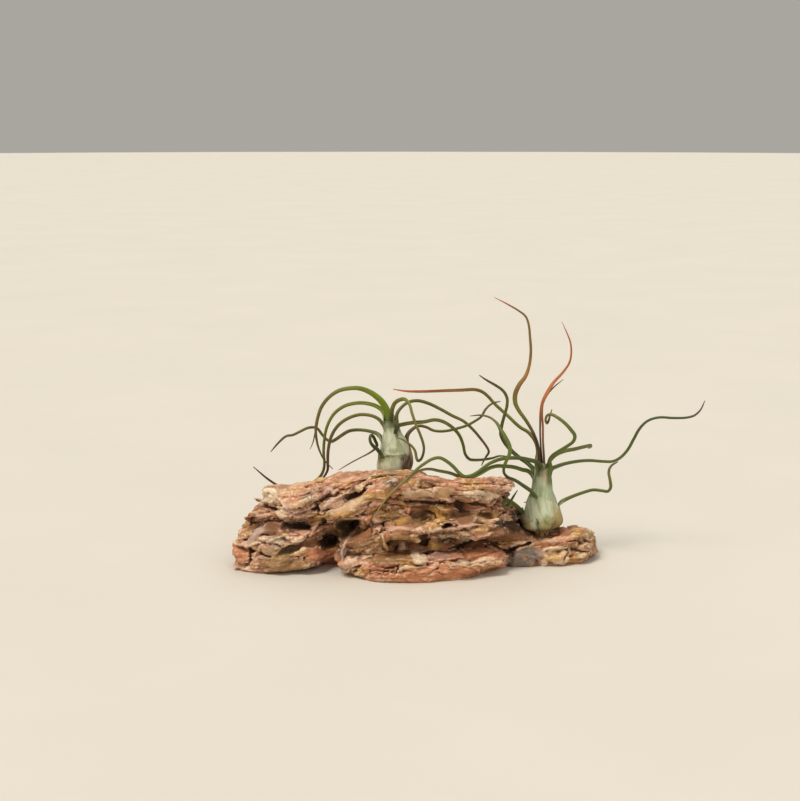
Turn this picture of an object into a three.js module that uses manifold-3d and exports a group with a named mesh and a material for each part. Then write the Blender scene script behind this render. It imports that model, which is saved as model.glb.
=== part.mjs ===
// Two bulb-based air plants held by one layered stone.
// Millimetres, +Z up. X runs along the stone, Y runs away from its front.
// The origin is on the surface that the stone stands on, under the stone's weight.
import * as THREE from "three";
import { ImprovedNoise } from "three/addons/math/ImprovedNoise.js";
import { mergeVertices } from "three/addons/utils/BufferGeometryUtils.js";
import Module from "manifold-3d";

const wasm = await Module();
wasm.setup();

// ---------------------------------------------------------------- driving dimensions

const CLEARANCE = 0.35;         // gap kept between two pieces that touch in life
const SHEATH_THICKNESS = 0.75;  // one leaf sheath
const LAYER_PITCH = 1.42;       // from the outside of one sheath in to the outside of the next
const HEART_LAYER = 4;          // the heart lies inside sheath layers 0 to 3
const STEM_RADIUS = 4.4;        // the short stem that the leaves grow from
const LAYER_RISE = 1.5;         // how much higher each inner sheath starts on the stem
const SHEATH_START = 2.2;       // height of the outermost sheath's lower edge
const SHEATH_SWELL = 4.5;       // height over which a sheath swells from the stem to its outline
const SHEATH_ROW = 5;           // sheath facets meet at multiples of this height, in every layer
const SHEATH_COLUMN = 21;       // widest facet of a sheath, degrees round the bulb
const BLADE_TIP = 0.75;         // thickness that a leaf ends in
const HEART_SIDES = 16;
const STEM_TOP = 1.6;           // radius that the inner bulb ends in, between the youngest leaves
const ROOT_RADIUS = 0.65;
const ROOT_SIDES = 5;
const ROOT_PATH = [[2, 1.6], [5.5, 0.4], [8.6, 0.25]];  // distance from the stem, height of its underside
const SEAT_CLEARANCE = 1.8;     // the stone's hollow is this much wider than the bulb in it
const SEAT_RADIUS = 9.6;        // and its floor leaves room for the roots
const SEAT_ROWS = [-CLEARANCE, 1, 3, 5, 7.5, 10, 14, 18];
const FACET = 9.5;              // size of one facet on the stone
const RIM_FACET = 6;            // height of one facet on the rim of a slab
const EDGE_ROUNDING = 0.12;     // how much a slab draws in at its top and bottom, as a share of its half
const CORNER_ROUNDING = 0.34;   // how round a slab's plan is: 0 a rectangle, 0.5 nearly an ellipse
const BAY_DEPTH = 8;            // how far the rims of the beds run in and out
const NOTCH_DEPTH = 7;
const DENT_DEPTH = 4.5;
const HOLLOW_WEAR = 0.35;       // a hollow's wall is weathered less than a slab
const FLOOR_BLOCK = [300, 200, 120];

const COLOURS = {
  stone: "#b98a62",
  fresh: "#7d9433",
  green: "#4f7030",
  olive: "#5d6230",
  amber: "#a65c2c",
};

// Each bulb: its centre line and its outline as [height above the base, value ...] rows,
// and over which heights each layer of sheaths ends and lets the next one come to the surface.
const RIGHT_BULB = {
  base: 15,
  centre: [[0, 84.5, 5], [50, 84.3, 5]],
  outline: [[0, 5.5], [1.5, 7.4], [4, 11.5], [7.3, 13.6], [10, 13.8], [15.8, 12.4], [21.6, 10.5],
    [27, 8.6],
    [33, 7], [39, 6.4], [45, 5.6], [50, 4.8]],
  layerEnds: [[18.5, 24], [28, 34], [41.5, 48]],
};
const LEFT_BULB = {
  base: 54.2,
  centre: [[0, -12.2, 15], [17, -11.6, 15], [27, -14.2, 15], [37, -16, 15]],
  outline: [[0, 8.2], [3, 11], [7.8, 11.9], [11.8, 11.4], [17, 10.2], [22, 8.7], [27, 6.8],
    [32.5, 5.7], [37, 5.1]],
  layerEnds: [[19.5, 24.5], [28, 33], [32, 37]],
};

// Each leaf: the layer that its sheath lies in; the direction it faces at the stem and at the top of
// its sheath (degrees, 0 is the front, 90 the +X side); how far round the bulb the sheath reaches to
// each side; the height where the blade leaves the bulb; the blade's width at its root and tip; and
// the blade's route.
const RIGHT_LEAVES = [
  { name: "front_twist", layer: 1, faces: [-2, -38], reach: 80, top: 27.5, width: [4, 1.1],
    colour: "green",
    route: [[76, -9, 47], [71, -13, 51], [65, -18, 56], [60, -22, 59], [57, -25, 63],
      [56.8, -26.5, 67.5], [58.4, -27, 72], [60.2, -26.5, 76.5], [60, -25.5, 80], [57.5, -23.5, 85],
      [55, -21, 89.5], [52.5, -18, 94], [48.5, -15, 97], [43, -12, 98], [36, -9, 97]] },
  { name: "low_left", layer: 0, faces: [-80, -98], reach: 74, top: 14.5, width: [4, 1.1],
    colour: "green",
    route: [[69.8, 1, 32], [66, -8, 37.5], [61.5, -17, 42.5], [58.5, -24, 45], [56.4, -28, 44],
      [57.2, -29.5, 41.8], [60.4, -29, 41.5], [62, -28.6, 45], [63.8, -28.8, 48.6], [66, -29, 52.6]] },
  { name: "low_right", layer: 0, faces: [83, 100], reach: 71, top: 19.5, width: [4.2, 1.1],
    colour: "green",
    route: [[100, 8.5, 36.5], [105.5, 9.5, 39], [112, 9.5, 41.5], [118.5, 9, 43.5], [124, 7, 43.5],
      [128, 5, 43.5], [130, 4, 46.5], [129.5, 3, 51.5], [128.5, 4, 57.5], [130, 5, 61],
      [134.5, 7, 63.5]] },
  { name: "trailing_long", layer: 2, faces: [-10, -8], reach: 38, top: 42, width: [4, 1],
    colour: "olive",
    route: [[82.5, -2.4, 62], [80, -5, 65], [74.5, -9, 67.5], [68.5, -13, 69.5], [61.5, -17, 70.5],
      [55, -21, 70.5], [49, -25, 69], [44.5, -29, 67], [40, -33, 64.5], [35.5, -36, 63],
      [31.5, -37.5, 63], [28, -38, 65.5], [24.5, -38.5, 69.5], [20.5, -39, 73], [16, -39.5, 75.5],
      [11.5, -40.5, 75], [7.5, -42, 73], [4, -44, 71], [0, -46.5, 68], [-4.5, -49, 64],
      [-9.5, -51.5, 60], [-15.5, -54, 55], [-20.5, -56, 49], [-24, -57.5, 43.5]] },
  { name: "trailing_short", layer: 2, faces: [-85, -88], reach: 30, top: 38, width: [3.8, 1],
    colour: "olive",
    route: [[75, 1.4, 57.5], [70, -3, 60], [64.5, -7, 62.5], [58.5, -11, 64], [53, -15, 65],
      [48, -19, 64.5], [43, -23, 62.5], [38, -26.5, 61], [33, -29, 60.5], [28, -31, 62],
      [22, -32.5, 64.5], [15.5, -33.5, 66], [10, -35, 67.5], [5, -37, 67.5], [1, -39, 66],
      [-2.5, -41, 63.5], [-5.5, -43, 60]] },
  { name: "raised_loop", layer: 2, faces: [57, 46], reach: 27, top: 42, width: [4, 1.1],
    colour: "green",
    route: [[89.8, -0.8, 61.5], [89, -2.8, 65.5], [90.5, -5, 69.5], [94, -8, 73], [99, -11, 77],
      [103.2, -14, 81.4], [103.8, -15, 85.4], [101.2, -15, 89.3], [97, -14, 93.8], [92.5, -12, 97],
      [88.6, -9.4, 98.6], [86, -7.6, 97.8], [84.8, -6.4, 95.4], [84.9, -5.4, 92.6], [86, -4.6, 91.2],
      [87.2, -3.9, 93.4], [88, -3.3, 96.4], [89.4, -3, 100.4]] },
  { name: "long_right", layer: 2, faces: [116, 114], reach: 26, top: 40, width: [4, 1.1],
    colour: "green",
    route: [[91.5, 8.6, 57.6], [95, 10.8, 58.8], [100, 13.5, 60], [108.5, 17, 61], [117.5, 20, 61],
      [126.5, 22, 60], [132.5, 22, 60], [137.5, 21, 62.5], [142.5, 19, 68.5], [146, 16, 76.5],
      [149.5, 13, 84.5], [154, 10, 90], [160.5, 8, 92.5], [170, 6, 92.5], [178.5, 5, 93],
      [183.5, 5, 94.5], [187.5, 6, 98], [190.5, 8, 104]] },
  { name: "back_left", layer: 2, faces: [-152, -142], reach: 30, top: 38.5, width: [3.7, 1],
    colour: "green",
    route: [[79, 11.2, 56.5], [75, 14, 60.5], [69, 16, 64.5], [64, 17, 69], [59.6, 16.5, 74.5],
      [57, 15, 80.5], [57.4, 13, 86.5], [58.9, 10, 94], [60.4, 8, 100.5], [60.4, 7, 106],
      [57.8, 6, 110.8], [53.2, 6, 114.2], [47.5, 6, 117.6], [42.5, 6, 121.2]] },
  { name: "back_reach", layer: 1, faces: [176, 172], reach: 66, top: 29, width: [3.8, 0.9],
    colour: "green",
    route: [[83.6, 15, 49], [84, 19.6, 54.5], [84.4, 27, 57.6], [84.6, 36, 56.5], [84.4, 44.5, 51],
      [83.8, 51, 43], [82.8, 56, 34.5], [81.6, 60.4, 27.5], [80, 64, 23], [77.6, 67, 21.4]] },
  { name: "long_left", layer: 3, faces: [-110, -115], reach: 44, top: 47, width: [3.6, 0.9],
    colour: "olive",
    route: [[80.3, 8.4, 65.5], [81, 9.6, 69.5], [80, 11.2, 75], [77.2, 12.8, 79.4], [74.4, 14.2, 82],
      [70.6, 15.6, 84], [67, 17, 86.8], [63.6, 18.6, 90], [58.5, 20.5, 94.5], [53, 21.5, 99.5],
      [49, 21.5, 104.1], [45, 20.5, 107.4], [40.5, 18.5, 109.1], [31, 14, 109.6], [18, 8, 110.2],
      [4.5, 2, 110.8], [-5, -2, 111.8], [-13.5, -5, 113.8]] },
  { name: "short_right", layer: 3, faces: [88, 82], reach: 42, top: 47.5, width: [3.6, 1.2],
    colour: "green",
    route: [[90.6, 4.6, 65], [94, 5.6, 68], [100, 7.5, 70], [106, 10.5, 70.5], [112, 15, 71],
      [117, 22, 70.5], [119, 30, 68.5], [118.5, 38, 66]] },
];
const RIGHT_YOUNG = [
  { width: [3.8, 0.9], route: [[83.2, 4.2, 52], [83, 4.2, 60], [82.4, 4.4, 67], [81.5, 4, 74],
    [78.5, 2, 82.5], [73.5, -1, 91.5], [68, -4, 99.5], [65.5, -6, 105], [65.5, -7, 111],
    [68, -7, 117], [72, -6, 122.5], [74.5, -4, 129.5], [75.5, -2, 138.5], [75, 0, 147],
    [74, 1, 155.5], [72, 1, 160.5], [67, 0, 164.5], [59.5, -2, 169], [51, -4, 173.5]] },
  { width: [3.8, 0.9], route: [[84.6, 6.2, 52], [84.6, 6.4, 60], [84, 6.6, 67], [83.2, 7.2, 77],
    [83, 8.6, 87], [83.4, 10.5, 96], [84.6, 12, 102], [87.2, 13.5, 107.5], [91.8, 14.5, 115],
    [97.6, 14.5, 121.5], [101.7, 13.5, 128], [102.8, 12, 134.5], [102, 11, 142], [99.5, 10, 148.5],
    [96, 9, 156]] },
  { width: [3.2, 0.9], route: [[85.8, 4.4, 52], [85.8, 4.6, 60], [85.4, 5.6, 68], [84.9, 7.8, 78],
    [85, 11, 86.4], [84.6, 14, 94.4], [85.2, 15.8, 100.6], [87.8, 16.2, 106.2], [91.8, 15.6, 111.4],
    [98.2, 13.6, 117.4]] },
];
const LEFT_LEAVES = [
  { name: "small_curl", layer: 0, faces: [-42, -62], reach: 62, top: 13, width: [4, 1], colour: "olive",
    route: [[-24.2, 6.4, 71], [-26.8, 4, 74], [-28.6, 2.4, 77], [-29.2, 2.2, 80], [-28.4, 3.4, 82.4],
      [-26.9, 6, 80.8], [-25.5, 8.6, 77.2], [-24.5, 11, 73.8], [-26.2, 13.2, 70.8], [-30, 14.5, 67.8],
      [-35.5, 15.5, 64.6], [-42, 16, 61], [-50, 16.5, 55.8]] },
  { name: "thin_right", layer: 0, faces: [100, 112], reach: 74, top: 20.5, width: [3.4, 0.9],
    colour: "olive",
    route: [[-3.2, 18.8, 79], [-0.5, 20.6, 82], [3.5, 22.4, 84], [8.5, 23.4, 83], [12.5, 23.4, 81],
      [17.5, 22, 80.5], [24, 20, 81.5], [30, 18, 83.5], [35.5, 17, 85.5], [40.5, 16, 88.5],
      [45, 15, 92], [47.5, 15, 96.5], [50.5, 16, 99.5], [53.5, 17, 101], [57.5, 19, 101.5]] },
  { name: "right_wave", layer: 1, faces: [28, 48], reach: 72, top: 30, width: [3.8, 1], colour: "olive",
    route: [[-9.4, 4.4, 87.6], [-5.6, 0, 89.6], [0.5, -4.6, 91.5], [7, -7.4, 92.5],
      [13.5, -8.6, 94], [18.5, -9, 93], [24.5, -8, 89], [29, -6, 83.5], [31.5, -4, 77],
      [33, -2, 70.5], [36, 0, 66.5], [40.5, 2, 65.5], [46, 4, 65.5], [51.5, 6, 66], [56, 8, 67],
      [62, 10, 66.5]] },
  { name: "low_wave", layer: 1, faces: [-102, -98], reach: 48, top: 22, width: [3.6, 0.9],
    colour: "olive",
    route: [[-24.6, 16.8, 79.6], [-29, 19.5, 80.8], [-35.5, 23.5, 81], [-42.5, 28, 79.5],
      [-48, 33, 75.5], [-52, 37, 72], [-55.5, 39, 70], [-59, 40, 71.5], [-62.5, 40, 75.5],
      [-65.5, 39, 79.5], [-70.5, 37, 80], [-76, 34, 78], [-81, 32, 76], [-85, 31, 75.5],
      [-89.5, 30, 72], [-95.5, 29, 65.5]] },
  { name: "right_arch", layer: 2, faces: [104, 100], reach: 34, top: 31, width: [3.8, 0.9],
    colour: "olive",
    route: [[-10.4, 16.6, 93], [-8, 18.4, 97], [-3.5, 21.4, 100], [2.5, 25, 100.5], [9.5, 27, 98.5],
      [17.5, 28, 94.5], [25.5, 28, 90], [33, 27, 86.5], [39, 25, 81.5], [44, 22.6, 76],
      [48, 20, 71], [49.6, 19.4, 67.6], [48, 21, 64], [46.5, 23, 60.5], [45.4, 25.4, 57]] },
  { name: "front_hook", layer: 2, faces: [-14, -12], reach: 41, top: 33, width: [3.8, 1],
    colour: "olive",
    route: [[-15, 8.4, 93], [-14.2, 6, 99], [-12.4, 4.5, 103], [-8.7, 0.5, 105.8], [-5.7, -4, 106.4],
      [-3.2, -8, 104.1], [-1.8, -11, 99.3], [1, -14.4, 91.8], [3.9, -17, 85.3], [5.8, -18, 78.8],
      [5.5, -18, 74.3], [3.9, -17, 70.4], [2, -14.6, 69.2], [1.1, -12.2, 71.3], [0.5, -11, 74.3],
      [-1.6, -10, 77.3], [-6.5, -8.4, 80.8], [-11.5, -7, 82.8]] },
  { name: "drooping", layer: 2, faces: [-88, -80], reach: 30, top: 30, width: [3.8, 1], colour: "olive",
    route: [[-22.4, 13.6, 89.2], [-25.6, 14.6, 91.4], [-30.5, 17, 92.4], [-37, 19.8, 91.8],
      [-44, 21, 89], [-49.6, 22, 84.6], [-53.4, 22.6, 79], [-55.6, 22.6, 72.5], [-56.6, 22.4, 65.5],
      [-56.8, 23, 59.5], [-57, 25, 54], [-60, 29, 48], [-65.6, 34, 42]] },
  { name: "long_tail", layer: 3, faces: [-138, -136], reach: 42, top: 34.5, width: [3.8, 0.9],
    colour: "green",
    route: [[-20.8, 20.6, 94.2], [-24.6, 21.8, 97.2], [-31, 23, 99], [-38, 26.4, 98.6],
      [-45.5, 28.6, 96.4], [-52.2, 30, 91.4], [-56.4, 31, 84.6], [-58.6, 31.4, 77.5],
      [-59.6, 31.4, 69.5], [-59.8, 32, 63], [-59.4, 33.4, 57], [-60.4, 36, 50.8], [-63.8, 39.6, 44.8],
      [-72, 43, 39.2], [-83, 45.4, 36.6], [-91.5, 46.4, 37.8], [-99, 46.4, 42.5], [-109, 46, 51.5]] },
  { name: "back_fall", layer: 2, faces: [176, 174], reach: 30, top: 30, width: [3.6, 0.9],
    colour: "olive",
    route: [[-14.6, 22.4, 88.4], [-14.2, 27, 89.8], [-13.8, 33, 88], [-13.4, 40, 83], [-13, 46, 75.5],
      [-12.6, 50.5, 67.5], [-12.4, 54, 60], [-12.6, 57.4, 54], [-14, 60.4, 50.4], [-17, 61.5, 49.5]] },
];
const LEFT_YOUNG = [
  { width: [4.6, 1.1], route: [[-14.6, 13.8, 80], [-15.6, 13.4, 88], [-17, 12.6, 94.5],
    [-19.4, 11.2, 100], [-23, 8, 105], [-28.5, 4, 109.8], [-35, 0, 113], [-42, -3, 113.6],
    [-49, -5, 112.3], [-54.9, -6, 108.2], [-59.6, -6, 102], [-62, -5, 95], [-63.4, -3, 88],
    [-63.2, 0.5, 80], [-61.8, 5, 72], [-58.6, 10, 63.6], [-53.5, 14, 57.2]] },
  { width: [3.4, 0.9], route: [[-14.4, 15.8, 80], [-15.6, 16, 87.5], [-17, 17.5, 93.5],
    [-19.5, 20.5, 98.5], [-23.2, 23, 102.5], [-29, 24, 106.3], [-35.5, 25, 108.8], [-43, 26, 108.7],
    [-50, 27, 106.8], [-56.4, 28, 102.2], [-61.2, 29, 95.7], [-63.8, 30.5, 88.4], [-65.2, 32, 81.2],
    [-66.4, 31.5, 76.6], [-67.2, 31, 72.8], [-68.2, 30.5, 69.8], [-69.4, 30, 67.2]] },
];

// The stone's ledges and masses: centre, half sizes, turn about Z, rise towards +X, fall to the back.
const LEDGES = [
  { name: "lower slab", centre: [8, -20, 5], half: [54, 40, 8.5], turn: 9, rise: 0, fall: 0 },
  { name: "middle left mass", centre: [-34, -17, 20], half: [19, 33, 18], turn: -8, rise: 4, fall: 4 },
  { name: "middle ledge", centre: [19, -12, 27], half: [47, 36, 6.5], turn: 4, rise: 0, fall: 6 },
  { name: "recessed layer", centre: [16, -4, 38], half: [45, 31, 9], turn: 2, rise: 0, fall: 9 },
  { name: "upper slab", centre: [25, -13, 47.8], half: [42, 34, 6], turn: 3, rise: -2, fall: 11 },
  { name: "tilted slab", centre: [-30, -23, 45.5], half: [30, 23, 6], turn: -6, rise: 26, fall: 8 },
  { name: "crown", centre: [-22, -2, 53.5], half: [30, 27, 6], turn: 0, rise: -3, fall: 10 },
  { name: "top left ledge", centre: [-62, -9, 48], half: [37, 24, 5.5], turn: -4, rise: 15, fall: 10 },
  { name: "second left ledge", centre: [-60, -15, 39], half: [29, 26, 7], turn: -4, rise: 10, fall: 8 },
  { name: "left lobe", centre: [-83, -9, 13], half: [34, 35, 14.5], turn: -12, rise: 7, fall: 4 },
  { name: "back left lump", centre: [-90, -4, 31], half: [15, 20, 9], turn: 0, rise: 14, fall: 6 },
  { name: "foot", centre: [87, 4, 9.5], half: [33, 25, 11], turn: 12, rise: 2, fall: 4 },
  { name: "foot's shoulder", centre: [65, 5, 11], half: [17, 26, 14], turn: 0, rise: -18, fall: 6 },
  { name: "core", centre: [-4, 8, 21], half: [76, 37, 22], turn: 3, rise: 0, fall: 5 },
  { name: "back ledge", centre: [5, 25, 30], half: [48, 21, 8], turn: -6, rise: -3, fall: 12 },
];

// What weather took out of it: centre and half sizes.
const HOLLOWS = [
  { name: "deep hole", centre: [-55, -44, 21], half: [9, 26, 8.5] },
  { name: "low arch", centre: [-52, -46, 1], half: [9, 32, 9] },
  { name: "upper hole", centre: [-41, -47, 30.5], half: [13, 20, 8.5] },
  { name: "slot under the upper slab", centre: [18, -48, 43], half: [9, 10, 4] },
  { name: "slot in the middle ledge", centre: [2, -48, 34], half: [10, 9, 3.5] },
  { name: "left lobe's hollow", centre: [-78, -52, 20], half: [15, 12, 8] },
  { name: "right recess", centre: [72.5, -28, 40], half: [20, 28, 16] },
  { name: "gap beside the bulb", centre: [70, -8, 40], half: [13, 22, 15] },
  { name: "left cleft", centre: [-72, -42, 31.5], half: [15, 16, 3.5] },
];

// ---------------------------------------------------------------- solids

const RADIANS = Math.PI / 180;
const smooth = (low, high, value) => THREE.MathUtils.smoothstep(value, low, high);
const mix = THREE.MathUtils.lerp;

function toSolid(geometry) {
  const bare = geometry.clone();
  bare.deleteAttribute("normal");
  bare.deleteAttribute("uv");
  const merged = mergeVertices(bare, 1e-4);
  const vertProperties = new Float32Array(merged.attributes.position.array);
  const triVerts = new Uint32Array(merged.index.array);
  return new wasm.Manifold(new wasm.Mesh({ numProp: 3, vertProperties, triVerts }));
}

function toGeometry(solid) {
  const mesh = solid.getMesh();
  const geometry = new THREE.BufferGeometry();
  geometry.setAttribute("position", new THREE.BufferAttribute(new Float32Array(mesh.vertProperties), 3));
  geometry.setIndex(new THREE.BufferAttribute(new Uint32Array(mesh.triVerts), 1));
  return geometry;
}

function signedVolume(points, faces) {
  const cross = new THREE.Vector3();
  return faces.reduce((sum, [a, b, c]) => sum + cross.crossVectors(points[b],
    points[c]).dot(points[a]) / 6, 0);
}

// A closed mesh from points and triangles, turned so that its faces point out.
function closedSolid(points, faces) {
  const outward = signedVolume(points, faces) > 0;
  const index = faces.flatMap(([a, b, c]) => (outward ? [a, b, c] : [a, c, b]));
  const geometry = new THREE.BufferGeometry();
  geometry.setAttribute("position",
    new THREE.Float32BufferAttribute(points.flatMap((p) => p.toArray()), 3));
  geometry.setIndex(index);
  return toSolid(geometry);
}

const join = (solids) => solids.reduce((whole, solid) => whole.add(solid));

// A body through rings of equally many points; each end is closed by a fan from one corner of its ring.
function loft(rings, corner) {
  const count = rings[0].length;
  const faces = [];
  for (let ring = 0; ring + 1 < rings.length; ring += 1) {
    for (let side = 0; side < count; side += 1) {
      const a = ring * count + side;
      const b = ring * count + (side + 1) % count;
      faces.push([a, b, b + count], [a, b + count, a + count]);
    }
  }
  const last = (rings.length - 1) * count;
  for (let step = 1; step + 1 < count; step += 1) {
    const b = (corner + step) % count;
    const c = (corner + step + 1) % count;
    faces.push([corner, c, b], [last + corner, last + b, last + c]);
  }
  return closedSolid(rings.flat(), faces);
}

// ---------------------------------------------------------------- bulbs

// Value of a [height, value ...] table at a height, eased between its rows.
function along(table, height, column = 1) {
  const curve = new THREE.CatmullRomCurve3(table.map((row) => new THREE.Vector3(row[0], row[column], 0)));
  const last = table.length - 1;
  const clamped = THREE.MathUtils.clamp(height, table[0][0], table[last][0]);
  const row = Math.min(last - 1, Math.max(0, table.findIndex((entry) => entry[0] > clamped) - 1));
  const start = table[row][0];
  const share = (clamped - start) / (table[row + 1][0] - start);
  return curve.getPoint((row + (clamped >= table[last][0] ? 1 : share)) / last).y;
}

// Radius of one layer: the bulb's outline less the layers outside it that still stand at that height.
function layerRadius(bulb, layer, height) {
  const ended = bulb.layerEnds.reduce((sum, [from, to]) => sum + smooth(from, to, height), 0);
  const full = along(bulb.outline, height) - LAYER_PITCH * Math.max(0, layer - ended)
    - (layer === HEART_LAYER ? CLEARANCE / 2 : 0);
  const start = SHEATH_START + LAYER_RISE * layer;
  const foot = layer === HEART_LAYER ? STEM_RADIUS : STEM_RADIUS + CLEARANCE + SHEATH_THICKNESS;
  return mix(foot, full, smooth(start, start + SHEATH_SWELL, height));
}

function bulbPoint(bulb, direction, radius, height) {
  const angle = direction * RADIANS;
  return new THREE.Vector3(
    along(bulb.centre, height, 1) + radius * Math.sin(angle),
    along(bulb.centre, height, 2) - radius * Math.cos(angle),
    bulb.base + height,
  );
}

// Heights of a sheath's rows: its ends, and the levels that all layers share.
function sheathRows(start, top) {
  const margin = SHEATH_ROW * 0.35;
  const levels = [start];
  for (let level = SHEATH_ROW; level < top - 1.6 * margin; level += SHEATH_ROW) {
    if (level > start + margin) levels.push(level);
  }
  return [...levels, top - SHEATH_ROW * 0.3, top];
}

// A sheath: a patch of shell in its layer, broad at the stem and narrowing to the blade.
function sheath(bulb, leaf) {
  const start = SHEATH_START + LAYER_RISE * leaf.layer;
  const levels = sheathRows(start, leaf.top);
  const columns = Math.max(3, Math.ceil(2 * leaf.reach / SHEATH_COLUMN));
  const outer = [];
  const inner = [];
  levels.forEach((height) => {
    const share = (height - start) / (leaf.top - start);
    const radius = layerRadius(bulb, leaf.layer, height);
    const slope = layerRadius(bulb, leaf.layer, height + 0.5) - layerRadius(bulb, leaf.layer,
      height - 0.5);
    const steep = Math.hypot(1, slope);
    const narrow = Math.asin(Math.min(0.95, leaf.width[0] * 0.55 / radius)) / RADIANS;
    const reach = mix(leaf.reach, narrow, share ** 1.9);
    const facing = mix(leaf.faces[0], leaf.faces[1], share ** 1.5);
    for (let column = 0; column <= columns; column += 1) {
      const direction = facing + reach * (2 * column / columns - 1);
      outer.push(bulbPoint(bulb, direction, radius, height));
      inner.push(bulbPoint(bulb, direction, radius - SHEATH_THICKNESS / steep,
        height + SHEATH_THICKNESS * slope / steep));
    }
  });
  return shell(outer, inner, levels.length, columns + 1);
}

// A shell between an outer and an inner grid of points.
function shell(outer, inner, rows, columns) {
  const faces = [];
  const behind = outer.length;
  const wall = (a, b) => faces.push([a, b, b + behind], [a, b + behind, a + behind]);
  for (let row = 0; row + 1 < rows; row += 1) {
    for (let column = 0; column + 1 < columns; column += 1) {
      const a = row * columns + column;
      const b = a + 1;
      const c = b + columns;
      const d = a + columns;
      faces.push([a, b, c], [a, c, d], [a + behind, c + behind, b + behind],
      [a + behind, d + behind, c + behind]);
    }
    wall(row * columns, (row + 1) * columns);
    wall((row + 2) * columns - 1, (row + 1) * columns - 1);
  }
  for (let column = 0; column + 1 < columns; column += 1) {
    wall(column + 1, column);
    wall(rows * columns - 1 - column - 1, rows * columns - 1 - column);
  }
  return closedSolid([...outer, ...inner], faces);
}

// ---------------------------------------------------------------- blades

// One cross-section of a rolled blade: a rounded back and a channel between two lips.
function bladeRing(centre, across, back, width, height) {
  const corners = [[0, -0.12], [0.34, -0.42], [0.47, 0.12], [0, 0.5], [-0.47, 0.12], [-0.34, -0.42]];
  return corners.map(([x, y]) => centre.clone().addScaledVector(across,
    x * width).addScaledVector(back, y * height));
}

// A blade along its route. It starts with its back to `outward`, and turns no more than its route does.
function blade(stations, outward) {
  const curve = new THREE.CatmullRomCurve3(stations.map((station) => station.at), false, "centripetal");
  const last = stations.length - 1;
  let back = outward.clone();
  const rings = stations.map((station, index) => {
    const tangent = curve.getTangent(index / last);
    back.addScaledVector(tangent, -back.dot(tangent)).normalize();
    const across = new THREE.Vector3().crossVectors(tangent, back);
    return bladeRing(station.at, across, back, station.width, station.height);
  });
  return loft(rings, 0);
}

// Width and thickness fall slowly to the last fifth of a blade, then quickly to its tip.
function bladeSize([root, tip], share) {
  const width = mix(root, root * 0.62, share) * (1 - share ** 7) + tip * share ** 7;
  return { width, height: Math.max(BLADE_TIP, width * 0.86) };
}

function routeStations(route, size) {
  return route.map((point, index) => {
    const share = index / (route.length - 1);
    return { at: new THREE.Vector3(...point), ...bladeSize(size, share) };
  });
}

// The blade's root lies flat in the top of its sheath and thickens as it leaves the bulb.
function rootStations(bulb, leaf) {
  const rises = [[-6, 0.95, 0.8], [-1.5, 1.05, 1.6]];
  return rises.map(([rise, broad, height]) => {
    const level = leaf.top + rise;
    const radius = layerRadius(bulb, leaf.layer, level) - SHEATH_THICKNESS + height * 0.42;
    return { at: bulbPoint(bulb, leaf.faces[1], radius, level), width: leaf.width[0] * broad, height };
  });
}

function leafSolid(bulb, leaf) {
  const stations = [...rootStations(bulb, leaf), ...routeStations(leaf.route, leaf.width)];
  const angle = leaf.faces[1] * RADIANS;
  const outward = new THREE.Vector3(Math.sin(angle), -Math.cos(angle), 0);
  return sheath(bulb, leaf).add(blade(stations, outward));
}

// ---------------------------------------------------------------- hearts

// A round body that follows the bulb's centre line.
function turned(bulb, heights, radiusAt) {
  const rings = heights.map((height) => Array.from({ length: HEART_SIDES }, (_, side) => (
    bulbPoint(bulb, side * 360 / HEART_SIDES, radiusAt(height), height))));
  return loft(rings, 0);
}

// The short stem and the inner bulb.
function innerBulb(bulb, top) {
  const heights = [0, 3, 6, 8.5, 11, 15, 20, 26, 32, 38, 44].filter((height) => height < top - 2);
  return turned(bulb, [...heights, top], (height) => (
    height < top ? layerRadius(bulb, HEART_LAYER, height) : STEM_TOP));
}

// Short roots that spread from under the stem.
function roots(bulb, directions) {
  return directions.map((direction) => {
    const points = ROOT_PATH.map(([radius, height]) => bulbPoint(bulb, direction, radius,
      height + ROOT_RADIUS));
    const rings = points.map((point, index) => {
      const size = ROOT_RADIUS * (1 - 0.2 * index);
      const angle = direction * RADIANS;
      const across = new THREE.Vector3(Math.cos(angle), Math.sin(angle), 0);
      return Array.from({ length: ROOT_SIDES }, (_, side) => {
        const turn = side * 2 * Math.PI / ROOT_SIDES;
        return point.clone().addScaledVector(across, size * Math.cos(turn)).add(
          new THREE.Vector3(0, 0, size * Math.sin(turn)));
      });
    });
    return loft(rings, 0);
  });
}

function heartSolid(bulb, top, young, rootDirections) {
  const outward = new THREE.Vector3(0, -1, 0);
  const leaves = young.map((leaf) => blade(routeStations(leaf.route, leaf.width), outward));
  return join([innerBulb(bulb, top), ...roots(bulb, rootDirections), ...leaves]);
}

// ---------------------------------------------------------------- stone

const noise = new ImprovedNoise();

// Beds lie nearly level on the right and rise gently towards the middle on the left.
const bedHeight = (p) => p.z - 0.1 * Math.min(0, p.x + 10) + 2.5 * noise.noise(p.x / 45, p.y / 45, 3.7);

// Weathering: the rim of each bed runs in and out, broken by notches, and its top is dented.
function weather(point, outward, strength) {
  const bed = bedHeight(point);
  const bays = noise.noise(point.x / 21 + 9, point.y / 21, bed / 9);
  const notches = Math.abs(noise.noise(point.x / 12, point.y / 12 + 5, bed / 6));
  const dents = noise.noise(point.x / 15, point.y / 15 + 3, point.z / 13);
  const level = new THREE.Vector3(outward.x, outward.y, 0);
  point.addScaledVector(level, strength * (BAY_DEPTH * bays - NOTCH_DEPTH * notches));
  point.addScaledVector(outward, strength * DENT_DEPTH * dents);
}

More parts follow.
